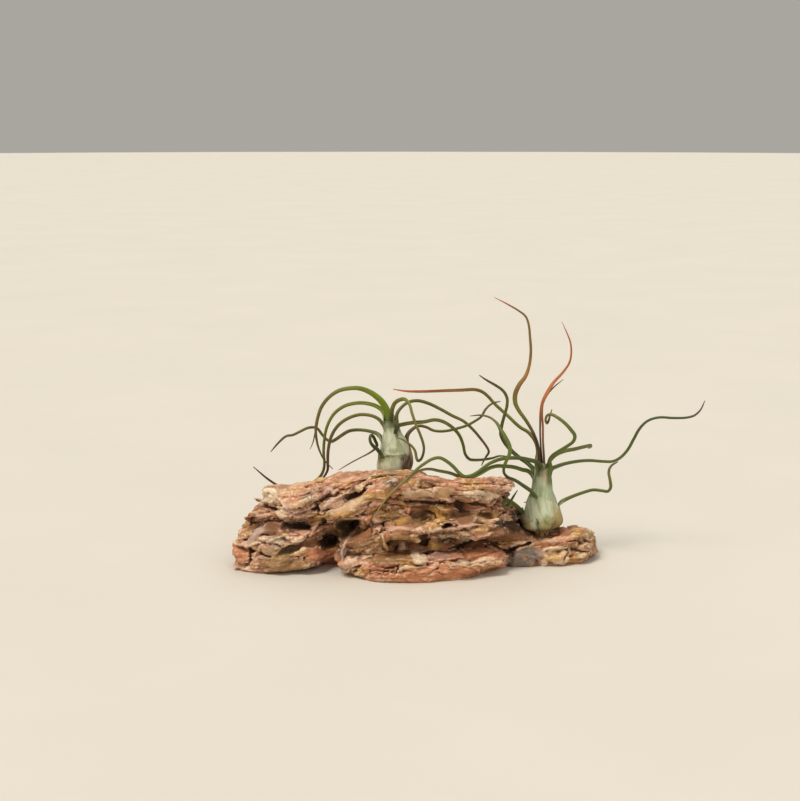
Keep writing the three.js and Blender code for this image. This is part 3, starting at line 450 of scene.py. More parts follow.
# Each leaf: its sheath's layer, the direction it faces at the stem and at the top (degrees, 0 is the front,
# 90 the +X side), how far round it reaches to each side, the height where the blade leaves the bulb, the
# blade's width, the share of the sheath's height where it starts to narrow, how the blade narrows, its
# tones from 0 at the foot, through 1 at the sheath's top, to 2 at the tip, and its route in millimetres.
LEAVES = {
    "right_front_twist": {
        "layer": 1, "faces": [-5, -46], "reach": 100, "top": 28.3, "width": 3.7, "shoulder": 0.58,
        "narrows": "twist",
        "tones": [(0, "khaki"), (0.3, "sage"), (0.75, "pale"), (0.95, "sage"), (1.03, "green"),
                  (1.3, "deep"), (1.5, "green"), (1.74, "green"), (1.84, "olive"), (2, "umber")],
        "route": [[75.2, -9, 47.2], [71, -13, 51], [65, -18, 56], [60, -22, 59], [57, -25, 63],
                  [56.8, -26.5, 67.5], [58.4, -27, 72], [60.2, -26.5, 76.5], [60, -25.5, 80],
                  [57.5, -23.5, 85], [55, -21, 89.5], [52.5, -18, 94], [48.5, -15, 97], [43, -12, 98],
                  [36, -9, 97]]},
    "right_low_left": {
        "layer": 0, "faces": [-80, -98], "reach": 84, "top": 14.5, "width": 3.6,
        "tones": [(0, "khaki"), (0.6, "khaki"), (0.9, "sage"), (1.1, "green"), (1.6, "green"), (2, "deep")],
        "route": [[69.8, 1, 32], [66, -8, 37.5], [61.5, -17, 42.5], [58.5, -24, 45], [56.4, -28, 44],
                  [57.2, -29.5, 41.8], [60.4, -29, 41.5], [62, -28.6, 45], [63.8, -28.8, 48.6],
                  [66, -29, 52.6]]},
    "right_low_right": {
        "layer": 0, "faces": [83, 100], "reach": 86, "top": 19.5, "width": 3.7,
        "tones": [(0, "khaki"), (0.7, "khaki"), (0.95, "sage"), (1.08, "green"), (1.5, "green"),
                  (1.8, "olive"), (2, "umber")],
        "route": [[100, 8.5, 36.5], [105.5, 9.5, 39], [112, 9.5, 41.5], [118.5, 9, 43.5], [124, 7, 43.5],
                  [128, 5, 43.5], [130, 4, 46.5], [129.5, 3, 51.5], [128.5, 4, 57.5], [130, 5, 61],
                  [134.5, 7, 63.5]]},
    "right_trailing_long": {
        "layer": 2, "faces": [-10, -8], "reach": 60, "top": 42, "width": 3.6,
        "tones": [(0, "sage"), (0.95, "sage"), (1.03, "deep"), (1.25, "green"), (1.6, "green"),
                  (1.78, "olive"), (2, "ochre")],
        "route": [[82.5, -2.4, 62], [80, -5, 65], [74.5, -9, 67.5], [68.5, -13, 69.5], [61.5, -17, 70.5],
                  [55, -21, 70.5], [49, -25, 69], [44.5, -29, 67], [40, -33, 64.5], [35.5, -36, 63],
                  [31.5, -37.5, 63], [28, -38, 65.5], [24.5, -38.5, 69.5], [20.5, -39, 73], [16, -39.5, 75.5],
                  [11.5, -40.5, 75], [7.5, -42, 73], [4, -44, 71], [0, -46.5, 68], [-4.5, -49, 64],
                  [-9.5, -51.5, 60], [-15.5, -54, 55], [-20.5, -56, 49], [-24, -57.5, 43.5]]},
    "right_trailing_short": {
        "layer": 2, "faces": [-85, -88], "reach": 50, "top": 38, "width": 3.5,
        "tones": [(0, "sage"), (0.97, "sage"), (1.06, "green"), (1.6, "green"), (1.8, "olive"), (2, "ochre")],
        "route": [[75, 1.4, 57.5], [70, -3, 60], [64.5, -7, 62.5], [58.5, -11, 64], [53, -15, 65],
                  [48, -19, 64.5], [43, -23, 62.5], [38, -26.5, 61], [33, -29, 60.5], [28, -31, 62],
                  [22, -32.5, 64.5], [15.5, -33.5, 66], [10, -35, 67.5], [5, -37, 67.5], [1, -39, 66],
                  [-2.5, -41, 63.5], [-5.5, -43, 60]]},
    "right_raised_loop": {
        "layer": 2, "faces": [57, 46], "reach": 40, "top": 42, "width": 3.6,
        "tones": [(0, "sage"), (0.78, "sage"), (0.88, "green"), (1.1, "green"), (1.5, "green"),
                  (1.72, "olive"), (2, "bronze")],
        "route": [[89.8, -0.8, 61.5], [89, -2.8, 65.5], [90.5, -5, 69.5], [94, -8, 73], [99, -11, 77],
                  [103.2, -14, 81.4], [103.8, -15, 85.4], [101.2, -15, 89.3], [97, -14, 93.8],
                  [92.5, -12, 97], [88.6, -9.4, 98.6], [86, -7.6, 97.8], [84.8, -6.4, 95.4],
                  [84.9, -5.4, 92.6], [86, -4.6, 91.2], [87.2, -3.9, 93.4], [88, -3.3, 96.4],
                  [89.4, -3, 100.4]]},
    "right_long_right": {
        "layer": 2, "faces": [116, 114], "reach": 40, "top": 40, "width": 3.6,
        "tones": [(0, "sage"), (0.8, "sage"), (1, "green"), (1.3, "green"), (1.8, "deep"), (2, "umber")],
        "route": [[91.5, 8.6, 57.6], [95, 10.8, 58.8], [100, 13.5, 60], [108.5, 17, 61], [117.5, 20, 61],
                  [126.5, 22, 60], [132.5, 22, 60], [137.5, 21, 62.5], [142.5, 19, 68.5], [146, 16, 76.5],
                  [149.5, 13, 84.5], [154, 10, 90], [160.5, 8, 92.5], [170, 6, 92.5], [178.5, 5, 93],
                  [183.5, 5, 94.5], [187.5, 6, 98], [190.5, 8, 104]]},
    "right_back_left": {
        "layer": 2, "faces": [-152, -142], "reach": 44, "top": 38.5, "width": 3.7,
        "tones": [(0, "sage"), (0.95, "sage"), (1.04, "deep"), (1.4, "deep"), (1.7, "olive"), (2, "umber")],
        "route": [[79, 11.2, 56.5], [75, 14, 60.5], [69, 16, 64.5], [64, 17, 69], [59.6, 16.5, 74.5],
                  [57, 15, 80.5], [57.4, 13, 86.5], [58.9, 10, 94], [60.4, 8, 100.5], [60.4, 7, 106],
                  [57.8, 6, 110.8], [53.2, 6, 114.2], [47.5, 6, 117.6], [42.5, 6, 121.2]]},
    "right_back_reach": {
        "layer": 1, "faces": [176, 172], "reach": 90, "top": 29, "width": 3.5,
        "tones": [(0, "khaki"), (0.5, "sage"), (0.9, "sage"), (1.1, "green"), (1.8, "green"), (2, "brown")],
        "route": [[83.6, 15, 49], [84, 19.6, 54.5], [84.4, 27, 57.6], [84.6, 36, 56.5], [84.4, 44.5, 51],
                  [83.8, 51, 43], [82.8, 56, 34.5], [81.6, 60.4, 27.5], [80, 64, 23], [77.6, 67, 21.4]]},
    "right_long_left": {
        "layer": 3, "faces": [-110, -115], "reach": 60, "top": 47, "width": 3.6,
        "tones": [(0, "sage"), (0.9, "sage"), (1, "olive"), (1.2, "olive"), (1.36, "fern"),
                  (1.52, "bronze"), (1.64, "amber"), (1.8, "rust"), (2, "orange")],
        "route": [[80.3, 8.4, 65.5], [81, 9.6, 69.5], [80, 11.2, 75], [77.2, 12.8, 79.4], [74.4, 14.2, 82],
                  [70.6, 15.6, 84], [67, 17, 86.8], [63.6, 18.6, 90], [58.5, 20.5, 94.5], [53, 21.5, 99.5],
                  [49, 21.5, 104.1], [45, 20.5, 107.4], [40.5, 18.5, 109.1], [31, 14, 109.6], [18, 8, 110.2],
                  [4.5, 2, 110.8], [-5, -2, 111.8], [-13.5, -5, 113.8]]},
    "right_short_right": {
        "layer": 3, "faces": [88, 82], "reach": 60, "top": 47.5, "width": 3.7, "narrows": "stout",
        "tones": [(0, "sage"), (0.85, "sage"), (1, "deep"), (1.2, "green"), (1.65, "olive"), (1.8, "brown"),
                  (2, "brown")],
        "route": [[90.6, 4.6, 65], [94, 5.6, 68], [100, 7.5, 70], [106, 10.5, 70.5], [112, 15, 71],
                  [117, 22, 70.5], [119, 30, 68.5], [118.5, 38, 66]]},
    "left_small_curl": {
        "layer": 0, "faces": [-42, -62], "reach": 116, "top": 13, "width": 3.5, "shoulder": 0.7,
        "narrows": "curl",
        "tones": [(0, "sage"), (0.6, "pale"), (0.92, "moss"), (1.05, "deep"), (1.5, "deep"), (1.62, "olive"),
                  (2, "bronze")],
        "route": [[-24.2, 6.4, 71], [-26.8, 4, 74], [-28.6, 2.4, 77], [-29.2, 2.2, 80], [-28.4, 3.4, 82.4],
                  [-26.9, 6, 80.8], [-25.5, 8.6, 77.2], [-24.5, 11, 73.8], [-26.2, 13.2, 70.8],
                  [-30, 14.5, 67.8], [-35.5, 15.5, 64.6], [-42, 16, 61], [-50, 16.5, 55.8]]},
    "left_thin_right": {
        "layer": 0, "faces": [100, 112], "reach": 74, "top": 20.5, "width": 3.4,
        "tones": [(0, "umber"), (0.5, "brown"), (0.8, "ochre"), (1, "brown"), (1.3, "olive"), (1.7, "green"),
                  (2, "brown")],
        "route": [[-3.2, 18.8, 79], [-0.5, 20.6, 82], [3.5, 22.4, 84], [8.5, 23.4, 83], [12.5, 23.4, 81],
                  [17.5, 22, 80.5], [24, 20, 81.5], [30, 18, 83.5], [35.5, 17, 85.5], [40.5, 16, 88.5],
                  [45, 15, 92], [47.5, 15, 96.5], [50.5, 16, 99.5], [53.5, 17, 101], [57.5, 19, 101.5]]},
    "left_right_wave": {
        "layer": 1, "faces": [28, 48], "reach": 88, "top": 30, "width": 3.4, "shoulder": 0.5,
        "tones": [(0, "sage"), (0.5, "pale"), (0.92, "pale"), (1.03, "deep"), (1.2, "olive"), (1.5, "green"),
                  (1.9, "green"), (2, "olive")],
        "route": [[-9.4, 4.4, 87.6], [-5.6, 0, 89.6], [0.5, -4.6, 91.5], [7, -7.4, 92.5], [13.5, -8.6, 94],
                  [18.5, -9, 93], [24.5, -8, 89], [29, -6, 83.5], [31.5, -4, 77], [33, -2, 70.5],
                  [36, 0, 66.5], [40.5, 2, 65.5], [46, 4, 65.5], [51.5, 6, 66], [56, 8, 67], [62, 10, 66.5]]},
    "left_low_wave": {
        "layer": 1, "faces": [-102, -98], "reach": 70, "top": 22, "width": 3.6,
        "tones": [(0, "sage"), (0.95, "pale"), (1.05, "green"), (1.3, "olive"), (1.7, "olive"), (2, "umber")],
        "route": [[-24.6, 16.8, 79.6], [-29, 19.5, 80.8], [-35.5, 23.5, 81], [-42.5, 28, 79.5],
                  [-48, 33, 75.5], [-52, 37, 72], [-55.5, 39, 70], [-59, 40, 71.5], [-62.5, 40, 75.5],
                  [-65.5, 39, 79.5], [-70.5, 37, 80], [-76, 34, 78], [-81, 32, 76], [-85, 31, 75.5],
                  [-89.5, 30, 72], [-95.5, 29, 65.5]]},
    "left_right_arch": {
        "layer": 2, "faces": [104, 100], "reach": 50, "top": 31, "width": 3.5,
        "tones": [(0, "sage"), (0.9, "pale"), (1.03, "olive"), (1.25, "green"), (1.6, "olive"),
                  (1.8, "brown"), (2, "umber")],
        "route": [[-10.4, 16.6, 93], [-8, 18.4, 97], [-3.5, 21.4, 100], [2.5, 25, 100.5], [9.5, 27, 98.5],
                  [17.5, 28, 94.5], [25.5, 28, 90], [33, 27, 86.5], [39, 25, 81.5], [44, 22.6, 76],
                  [48, 20, 71], [49.6, 19.4, 67.6], [48, 21, 64], [46.5, 23, 60.5], [45.4, 25.4, 57]]},
    "left_front_hook": {
        "layer": 2, "faces": [-14, -12], "reach": 60, "top": 33, "width": 3.5,
        "tones": [(0, "pale"), (0.9, "pale"), (0.98, "sage"), (1.04, "deep"), (1.12, "olive"), (1.3, "fern"),
                  (1.5, "olive"), (1.7, "deep"), (1.85, "olive"), (2, "olive")],
        "route": [[-15, 8.4, 93], [-14.2, 6, 99], [-12.4, 4.5, 103], [-8.7, 0.5, 105.8], [-5.7, -4, 106.4],
                  [-3.2, -8, 104.1], [-1.8, -11, 99.3], [1, -14.4, 91.8], [3.9, -17, 85.3], [5.8, -18, 78.8],
                  [5.5, -18, 74.3], [3.9, -17, 70.4], [2, -14.6, 69.2], [1.1, -12.2, 71.3], [0.5, -11, 74.3],
                  [-1.6, -10, 77.3], [-6.5, -8.4, 80.8], [-11.5, -7, 82.8]]},
    "left_drooping": {
        "layer": 2, "faces": [-88, -80], "reach": 46, "top": 30, "width": 3.5,
        "tones": [(0, "sage"), (0.95, "pale"), (1.04, "olive"), (1.4, "olive"), (1.7, "brown"), (2, "umber")],
        "route": [[-22.4, 13.6, 89.2], [-25.6, 14.6, 91.4], [-30.5, 17, 92.4], [-37, 19.8, 91.8],
                  [-44, 21, 89], [-49.6, 22, 84.6], [-53.4, 22.6, 79], [-55.6, 22.6, 72.5],
                  [-56.6, 22.4, 65.5], [-56.8, 23, 59.5], [-57, 25, 54], [-60, 29, 48], [-65.6, 34, 42]]},
    "left_long_tail": {
        "layer": 3, "faces": [-138, -136], "reach": 60, "top": 34.5, "width": 3.5,
        "tones": [(0, "sage"), (0.95, "pale"), (1.03, "spring"), (1.15, "fern"), (1.35, "fern"),
                  (1.6, "olive"), (1.85, "brown"), (2, "umber")],
        "route": [[-20.8, 20.6, 94.2], [-24.6, 21.8, 97.2], [-31, 23, 99], [-38, 26.4, 98.6],
                  [-45.5, 28.6, 96.4], [-52.2, 30, 91.4], [-56.4, 31, 84.6], [-58.6, 31.4, 77.5],
                  [-59.6, 31.4, 69.5], [-59.8, 32, 63], [-59.4, 33.4, 57], [-60.4, 36, 50.8],
                  [-63.8, 39.6, 44.8], [-72, 43, 39.2], [-83, 45.4, 36.6], [-91.5, 46.4, 37.8],
                  [-99, 46.4, 42.5], [-109, 46, 51.5]]},
    "left_back_fall": {
        "layer": 2, "faces": [176, 174], "reach": 46, "top": 30, "width": 3.6,
        "tones": [(0, "sage"), (0.8, "sage"), (1, "green"), (1.5, "olive"), (2, "brown")],
        "route": [[-14.6, 22.4, 88.4], [-14.2, 27, 89.8], [-13.8, 33, 88], [-13.4, 40, 83], [-13, 46, 75.5],
                  [-12.6, 50.5, 67.5], [-12.4, 54, 60], [-12.6, 57.4, 54], [-14, 60.4, 50.4],
                  [-17, 61.5, 49.5]]},
}

# The youngest leaves come straight out of each heart.
YOUNG_LEAVES = {
    "right_heart": [
        {"width": 2.7, "narrows": "swan",
         "tones": [(1, "umber"), (1.2, "umber"), (1.28, "olive"), (1.38, "fern"), (1.46, "bronze"),
                   (1.55, "amber"), (1.7, "bronze"), (1.85, "bronze"), (1.93, "rust"), (2, "orange")],
         "route": [[83.2, 4.2, 52], [83, 4.2, 60], [82.4, 4.4, 67], [81.5, 4, 74], [78.5, 2, 82.5],
                   [73.5, -1, 91.5], [68, -4, 99.5], [65.5, -6, 105], [65.5, -7, 111], [68, -7, 117],
                   [72, -6, 122.5], [74.5, -4, 129.5], [75.5, -2, 138.5], [75, 0, 147], [74, 1, 155.5],
                   [72, 1, 160.5], [67, 0, 164.5], [59.5, -2, 169], [51, -4, 173.5]]},
        {"width": 2.5, "narrows": "flame",
         "tones": [(1, "umber"), (1.2, "umber"), (1.32, "brown"), (1.42, "rust"), (1.52, "orange"),
                   (1.7, "orange"), (1.85, "rust"), (2, "orange")],
         "route": [[84.6, 6.2, 52], [84.6, 6.4, 60], [84, 6.6, 67], [83.2, 7.2, 77], [83, 8.6, 87],
                   [83.4, 10.5, 96], [84.6, 12, 102], [87.2, 13.5, 107.5], [91.8, 14.5, 115],
                   [97.6, 14.5, 121.5], [101.7, 13.5, 128], [102.8, 12, 134.5], [102, 11, 142],
                   [99.5, 10, 148.5], [96, 9, 156]]},
        {"width": 2.0,
         "tones": [(1, "umber"), (1.3, "brown"), (1.5, "rust"), (1.7, "brown"), (1.85, "olive"),
                   (2, "umber")],
         "route": [[85.8, 4.4, 52], [85.8, 4.6, 60], [85.4, 5.6, 68], [84.9, 7.8, 78], [85, 11, 86.4],
                   [84.6, 14, 94.4], [85.2, 15.8, 100.6], [87.8, 16.2, 106.2], [91.8, 15.6, 111.4],
                   [98.2, 13.6, 117.4]]},
    ],
    "left_heart": [
        {"width": 4.6, "narrows": "arch",
         "tones": [(1, "spring"), (1.25, "spring"), (1.4, "fern"), (1.55, "olive"), (1.7, "bronze"),
                   (1.85, "olive"), (2, "brown")],
         "route": [[-14.6, 13.8, 80], [-15.6, 13.4, 88], [-17, 12.6, 94.5], [-19.4, 11.2, 100],
                   [-23, 8, 105], [-28.5, 4, 109.8], [-35, 0, 113], [-42, -3, 113.6], [-49, -5, 112.3],
                   [-54.9, -6, 108.2], [-59.6, -6, 102], [-62, -5, 95], [-63.4, -3, 88], [-63.2, 0.5, 80],
                   [-61.8, 5, 72], [-58.6, 10, 63.6], [-53.5, 14, 57.2]]},
        {"width": 3.2, "narrows": "hidden",
         "tones": [(1, "spring"), (1.4, "green"), (1.8, "olive"), (2, "brown")],
         "route": [[-14.4, 15.8, 80], [-15.6, 16, 87.5], [-17, 17.5, 93.5], [-19.5, 20.5, 98.5],
                   [-23.2, 23, 102.5], [-29, 24, 106.3], [-35.5, 25, 108.8], [-43, 26, 108.7],
                   [-50, 27, 106.8], [-56.4, 28, 102.2], [-61.2, 29, 95.7], [-63.8, 30.5, 88.4],
                   [-65.2, 32, 81.2], [-66.4, 31.5, 76.6], [-67.2, 31, 72.8], [-68.2, 30.5, 69.8],
                   [-69.4, 30, 67.2]]},
    ],
}


def smooth_line(points, step):
    """A centripetal spline through points, as evenly spaced points."""
    points = np.asarray(points, float)
    ends = np.vstack([2 * points[0] - points[1], points, 2 * points[-1] - points[-2]])
    fine = []
    for a, b, c, d in zip(ends, ends[1:], ends[2:], ends[3:]):
        t = np.cumsum([0, *(np.linalg.norm(q - p) ** 0.5 for p, q in ((a, b), (b, c), (c, d)))])
        s = np.linspace(t[1], t[2], ROUTE_STEPS, endpoint=False)[:, None]
        ab, bc, cd = (((t[i + 1] - s) * p + (s - t[i]) * q) / (t[i + 1] - t[i])
                      for i, (p, q) in enumerate(((a, b), (b, c), (c, d))))
        abc = ((t[2] - s) * ab + (s - t[0]) * bc) / (t[2] - t[0])
        bcd = ((t[3] - s) * bc + (s - t[1]) * cd) / (t[3] - t[1])
        fine.append(((t[2] - s) * abc + (s - t[1]) * bcd) / (t[2] - t[1]))
    fine = np.vstack([*fine, points[-1:]])
    run = lengths_along(fine)
    even = np.linspace(0, run[-1], max(2, round(run[-1] / step) + 1))
    return np.stack([np.interp(even, run, fine[:, axis]) for axis in range(3)], -1)


def lengths_along(line):
    """The length of the line up to each of its points."""
    return np.concatenate([[0], np.linalg.norm(np.diff(line, axis=0), axis=1).cumsum()])


def carried(first, directions):
    """The direction `first`, carried along a line without twist."""
    backs = []
    back = first
    for direction in directions:
        back = unit(back - direction * (back @ direction))
        backs.append(back)
    return np.array(backs)


def blade_sections(line, first, leaf):
    """Centre, outward direction, roll radius, half width along the arc, thickness and age of each section."""
    share = np.linspace(0, 1, len(line))
    broad = leaf["width"] * eased(NARROWING[leaf.get("narrows", "even")], share)
    backs = carried(first, unit(np.gradient(line, axis=0)))
    thickness = np.minimum(BLADE_THICKNESS, broad * THICKEST)
    radius = (broad - thickness) / 2
    close = mix(ROLL, TIP_ROLL, smooth(TIP_START, 1.0, share))
    return {"centre": line, "out": backs, "radius": radius, "half": radius * close, "thick": thickness,
            "age": mix(1.0, 2.0, share)}


def sheath_sections(bulb, leaf):
    start = SKIN_FOOT + SKIN_RISE * leaf["layer"]
    share = np.linspace(0, 1, SHEATH_SECTIONS)
    height = mix(start, leaf["top"] - SHEATH_END, share)
    radius = layer_radius(bulb, leaf["layer"], height) - SKIN_THICKNESS / 2
    out = radial(mix(*leaf["faces"], share ** FACING_EASE))
    narrow = leaf["width"] / 2 * ROLL
    shoulder = smooth(leaf.get("shoulder", SHOULDER[0]), SHOULDER[1], share)
    half = mix(np.radians(leaf["reach"]) * radius, narrow, shoulder)
    return {"centre": bulb_centre(bulb, height) + out * radius[:, None], "out": out, "radius": radius,
            "half": half, "thick": np.full(SHEATH_SECTIONS, SKIN_THICKNESS), "age": share}


def leaf_sections(bulb, leaf):
    """A leaf from the foot of its sheath to the tip of its blade, as one row of sections."""
    low = sheath_sections(bulb, leaf)
    lead = low["centre"][-3:]
    line = smooth_line([*lead, *leaf["route"]], BLADE_STEP)
    reached = int(np.argmin(np.linalg.norm(line - lead[-1], axis=1)))
    high = blade_sections(line[reached + 1:], low["out"][-1], leaf)
    run = lengths_along(np.vstack([lead[-1:], high["centre"]]))[1:]
    furl = smooth(0, UNFURL, run)
    high["radius"] = low["radius"][-1] ** (1 - furl) * high["radius"] ** furl
    high["half"] = mix(low["half"][-1], high["half"], furl)
    high["thick"] = mix(NECK_THICKNESS, high["thick"], furl)
    return {key: np.concatenate([low[key], high[key]]) for key in low}


def tone_colours(tones, age):
    places = [place for place, _ in tones]
    colours = np.array([TONES[name] for _, name in tones])
    return np.stack([np.interp(age, places, colours[:, i]) for i in range(3)], -1)


BLADE_POINTS = 40       # points round one section
SHEATH_POINTS = 88      # and round one of a leaf whose sheath shows
SHOWN_LAYERS = 2
EDGE_SHARPNESS = 0.03   # the lower, the squarer a section's edges
BLUNT_EDGE = 0.985      # keeps the points of a section apart at its edges
NUMBER_STEP = 7.3       # how far apart the grains of two leaves are taken


def leaf_skin_tree():
    """Geometry Nodes: turns a row of sections into a closed skin, curved round its own axis."""
    nodes = group_tree(
        "leaf skin", "GeometryNodeTree",
        [("Sections", "NodeSocketGeometry", None), ("Points Round", "NodeSocketInt", BLADE_POINTS),
         ("Edge Sharpness", "NodeSocketFloat", EDGE_SHARPNESS), ("Finish", "NodeSocketMaterial", None)],
        [("Skin", "NodeSocketGeometry")])
    given = nodes.input.outputs

    def named(name, kind="FLOAT"):
        return nodes.add("GeometryNodeInputNamedAttribute", {"Name": name}, data_type=kind)

    def noted(geometry, name, value, kind="FLOAT"):
        inputs = {"Geometry": geometry, "Name": name, "Value": value}
        return nodes.add("GeometryNodeStoreNamedAttribute", inputs, data_type=kind, domain="POINT")

    row = nodes.add("GeometryNodeMeshToCurve", {0: given["Sections"]})
    row = noted(row, "centre", nodes.add("GeometryNodeInputPosition"), "FLOAT_VECTOR")
    ring = nodes.add("GeometryNodeCurvePrimitiveCircle", {"Resolution": given["Points Round"], "Radius": MM})
    tube = nodes.add("GeometryNodeCurveToMesh", {"Curve": row, "Profile Curve": ring, "Fill Caps": True})
    step = nodes.math("MODULO", nodes.add("GeometryNodeInputIndex"), given["Points Round"])
    angle = nodes.math("MULTIPLY", nodes.math("DIVIDE", step, given["Points Round"]), TURN)
    across = nodes.math("ARCSINE", nodes.math("MULTIPLY", nodes.math("COSINE", angle), BLUNT_EDGE))
    across = nodes.math("DIVIDE", across, math.asin(BLUNT_EDGE))
    rise = nodes.math("SINE", angle)
    squared = nodes.math("ADD", nodes.math("MULTIPLY", rise, rise), given["Edge Sharpness"])
    face = nodes.math("DIVIDE", rise, nodes.math("SQRT", squared))
    radius = named("roll")
    bend = nodes.math("MULTIPLY", nodes.math("DIVIDE", named("half"), radius), across)
    reach = nodes.math("MULTIPLY_ADD", nodes.math("MULTIPLY", face, 0.5), named("thick"), radius)
    out = named("out", "FLOAT_VECTOR")
    axis = nodes.vector("SUBTRACT", named("centre", "FLOAT_VECTOR"), nodes.scaled(out, radius))
    upright = nodes.scaled(out, nodes.math("MULTIPLY", reach, nodes.math("COSINE", bend)))
    sideways = nodes.math("MULTIPLY", reach, nodes.math("SINE", bend))
    sideways = nodes.scaled(named("side", "FLOAT_VECTOR"), sideways)
    place = nodes.vector("ADD", axis, nodes.vector("ADD", upright, sideways))
    skin = nodes.add("GeometryNodeSetPosition", {"Geometry": tube, "Position": place})
    skin = noted(noted(skin, "across", across), "face", face)
    skin = nodes.add("GeometryNodeSetShadeSmooth", {0: skin})
    skin = nodes.add("GeometryNodeRealizeInstances", {0: skin})
    skin = nodes.add("GeometryNodeSetMaterial", {"Geometry": skin, "Material": given["Finish"]})
    nodes.put(nodes.output.inputs["Skin"], skin)
    return nodes.tree


# ---------------------------------------------------------------- points and attributes of a mesh

# How an attribute with this many numbers for each point is kept, and the name of its values.
ATTRIBUTE_KINDS = {1: ("FLOAT", "value"), 3: ("FLOAT_VECTOR", "vector"), 4: ("FLOAT_COLOR", "color")}


def store(mesh, **attributes):
    """Writes attributes on a mesh: one value for all its points, or for each a number, vector or colour."""
    count = len(mesh.vertices)
    for name, values in attributes.items():
        values = np.full(count, values) if np.ndim(values) == 0 else values
        values = np.ascontiguousarray(values, np.float32).ravel()
        kind, field = ATTRIBUTE_KINDS[len(values) // count]
        attribute = mesh.attributes.get(name) or mesh.attributes.new(name, kind, "POINT")
        attribute.data.foreach_set(field, values)


def coloured(rgb):
    return np.concatenate([rgb, np.ones((len(rgb), 1))], -1)


def read(items, field, width=3):
    """Values of a mesh's points or of one of its attributes, as rows of this width."""
    values = np.zeros(len(items) * width, np.float32)
    items.foreach_get(field, values)
    return values.reshape(-1, width).astype(float)


def points_of(mesh):
    return read(mesh.vertices, "co") / MM


def move_points(mesh, points):
    mesh.vertices.foreach_set("co", (points * MM).astype(np.float32).ravel())
    mesh.update()


def shade_smooth(mesh):
    mesh.polygons.foreach_set("use_smooth", np.ones(len(mesh.polygons), bool))


def made_plain(made):
    """The mesh that an object's modifiers make. The object itself is removed."""
    graph = bpy.context.evaluated_depsgraph_get()
    mesh = bpy.data.meshes.new_from_object(made.evaluated_get(graph))
    bpy.data.objects.remove(made)
    return mesh


def outward_faces(mesh):
    """Turns a closed mesh so that its faces point out."""
    build = bmesh.new()
    build.from_mesh(mesh)
    if build.calc_volume(signed=True) < 0:
        bmesh.ops.reverse_faces(build, faces=build.faces)
    build.to_mesh(mesh)
    build.free()


def skinned(name, sections, tones, tree, finish, number, points=BLADE_POINTS):
    """One leaf as a closed mesh with the attributes that its material reads."""
    centre = sections["centre"]
    count = len(centre)
    row = mesh_object(name + "_row", centre * MM, [])
    row.data.edges.add(count - 1)
    row.data.edges.foreach_set("vertices", np.stack([np.arange(count - 1), np.arange(1, count)], -1).ravel())
    direction = unit(np.gradient(centre, axis=0))
    store(row.data, out=sections["out"], side=unit(np.cross(direction, sections["out"])),
          roll=sections["radius"] * MM, half=sections["half"] * MM, thick=sections["thick"] * MM,
          width=sections["half"], age=sections["age"], run=lengths_along(centre),
          number=number * NUMBER_STEP, tone=coloured(tone_colours(tones, sections["age"])))
    modifier = row.modifiers.new("skin", "NODES")
    modifier.node_group = tree
    settings = {"Points Round": points, "Edge Sharpness": EDGE_SHARPNESS, "Finish": finish}
    for item in tree.interface.items_tree:
        if item.in_out == "INPUT" and item.name in settings:
            modifier[item.identifier] = settings[item.name]
    mesh = made_plain(row)
    mesh.name = name
    outward_faces(mesh)
    return placed(name, mesh)


# ---------------------------------------------------------------- shape and stains of the bulbs

NEAR_BULB = (1.05, 1.35)    # shares of the bulb's radius between which what changes the bulb fades out
NEAR_TOP = 4                # and the height above its top
SWELL = 0.45                # how unevenly the sheaths swell, millimetres
SWELL_TURN = 1.6            # how many swellings lie round a bulb,
SWELL_HEIGHT = 9            # and how tall they are
NOTCH_START = (1.5, 5)      # heights over which the notches set in
# These shape the edges of the stains and of the painted shade alike.
SPOT_SIZE = 3.5            # size of the raggedness of a stain's edge, millimetres,
SPOT_RAGGED = 0.28         # and its strength
SPOT_EDGE = (0.55, 1.1)    # shares of a stain's size between which it fades


def bulb_places(points, bulb):
    """Height, direction in degrees, outward arm and nearness to the bulb of each point."""
    height = points[:, 2] - bulb["base"]
    arm = points - bulb_centre(bulb, np.clip(height, 0, bulb["top"]))
    arm[:, 2] = 0
    direction = np.degrees(np.arctan2(arm[:, 0], -arm[:, 1]))
    share = np.linalg.norm(arm, axis=1) / np.maximum(1, eased(bulb["outline"], height))
    above = smooth(bulb["top"], bulb["top"] + NEAR_TOP, height)
    return height, direction, arm, (1 - smooth(*NEAR_BULB, share)) * (1 - above)


def apart(direction, at):
    return (direction - at + 180) % 360 - 180


def plump(mesh, bulb):
    """Swells the sheaths unevenly and pulls in the notches at the foot, all layers alike."""
    points = points_of(mesh)
    height, direction, arm, near = bulb_places(points, bulb)
    turn = np.radians(direction)
    round_bulb = [np.sin(turn) * SWELL_TURN, np.cos(turn) * SWELL_TURN, height / SWELL_HEIGHT]
    wave = SWELL * noise(np.stack(round_bulb, -1), seed=3)
    for at, broad, low, high, depth in bulb["notches"]:
        reach = smooth(*NOTCH_START, height) * (1 - smooth(low, high, height))
        wave -= depth * np.exp(-(apart(direction, at) / broad) ** 2) * reach
    for at, broad, level, tall, out in bulb["lobes"]:
        wave += out * np.exp(-(apart(direction, at) / broad) ** 2 - ((height - level) / tall) ** 2)
    move_points(mesh, points + unit(arm) * (wave * near)[:, None])


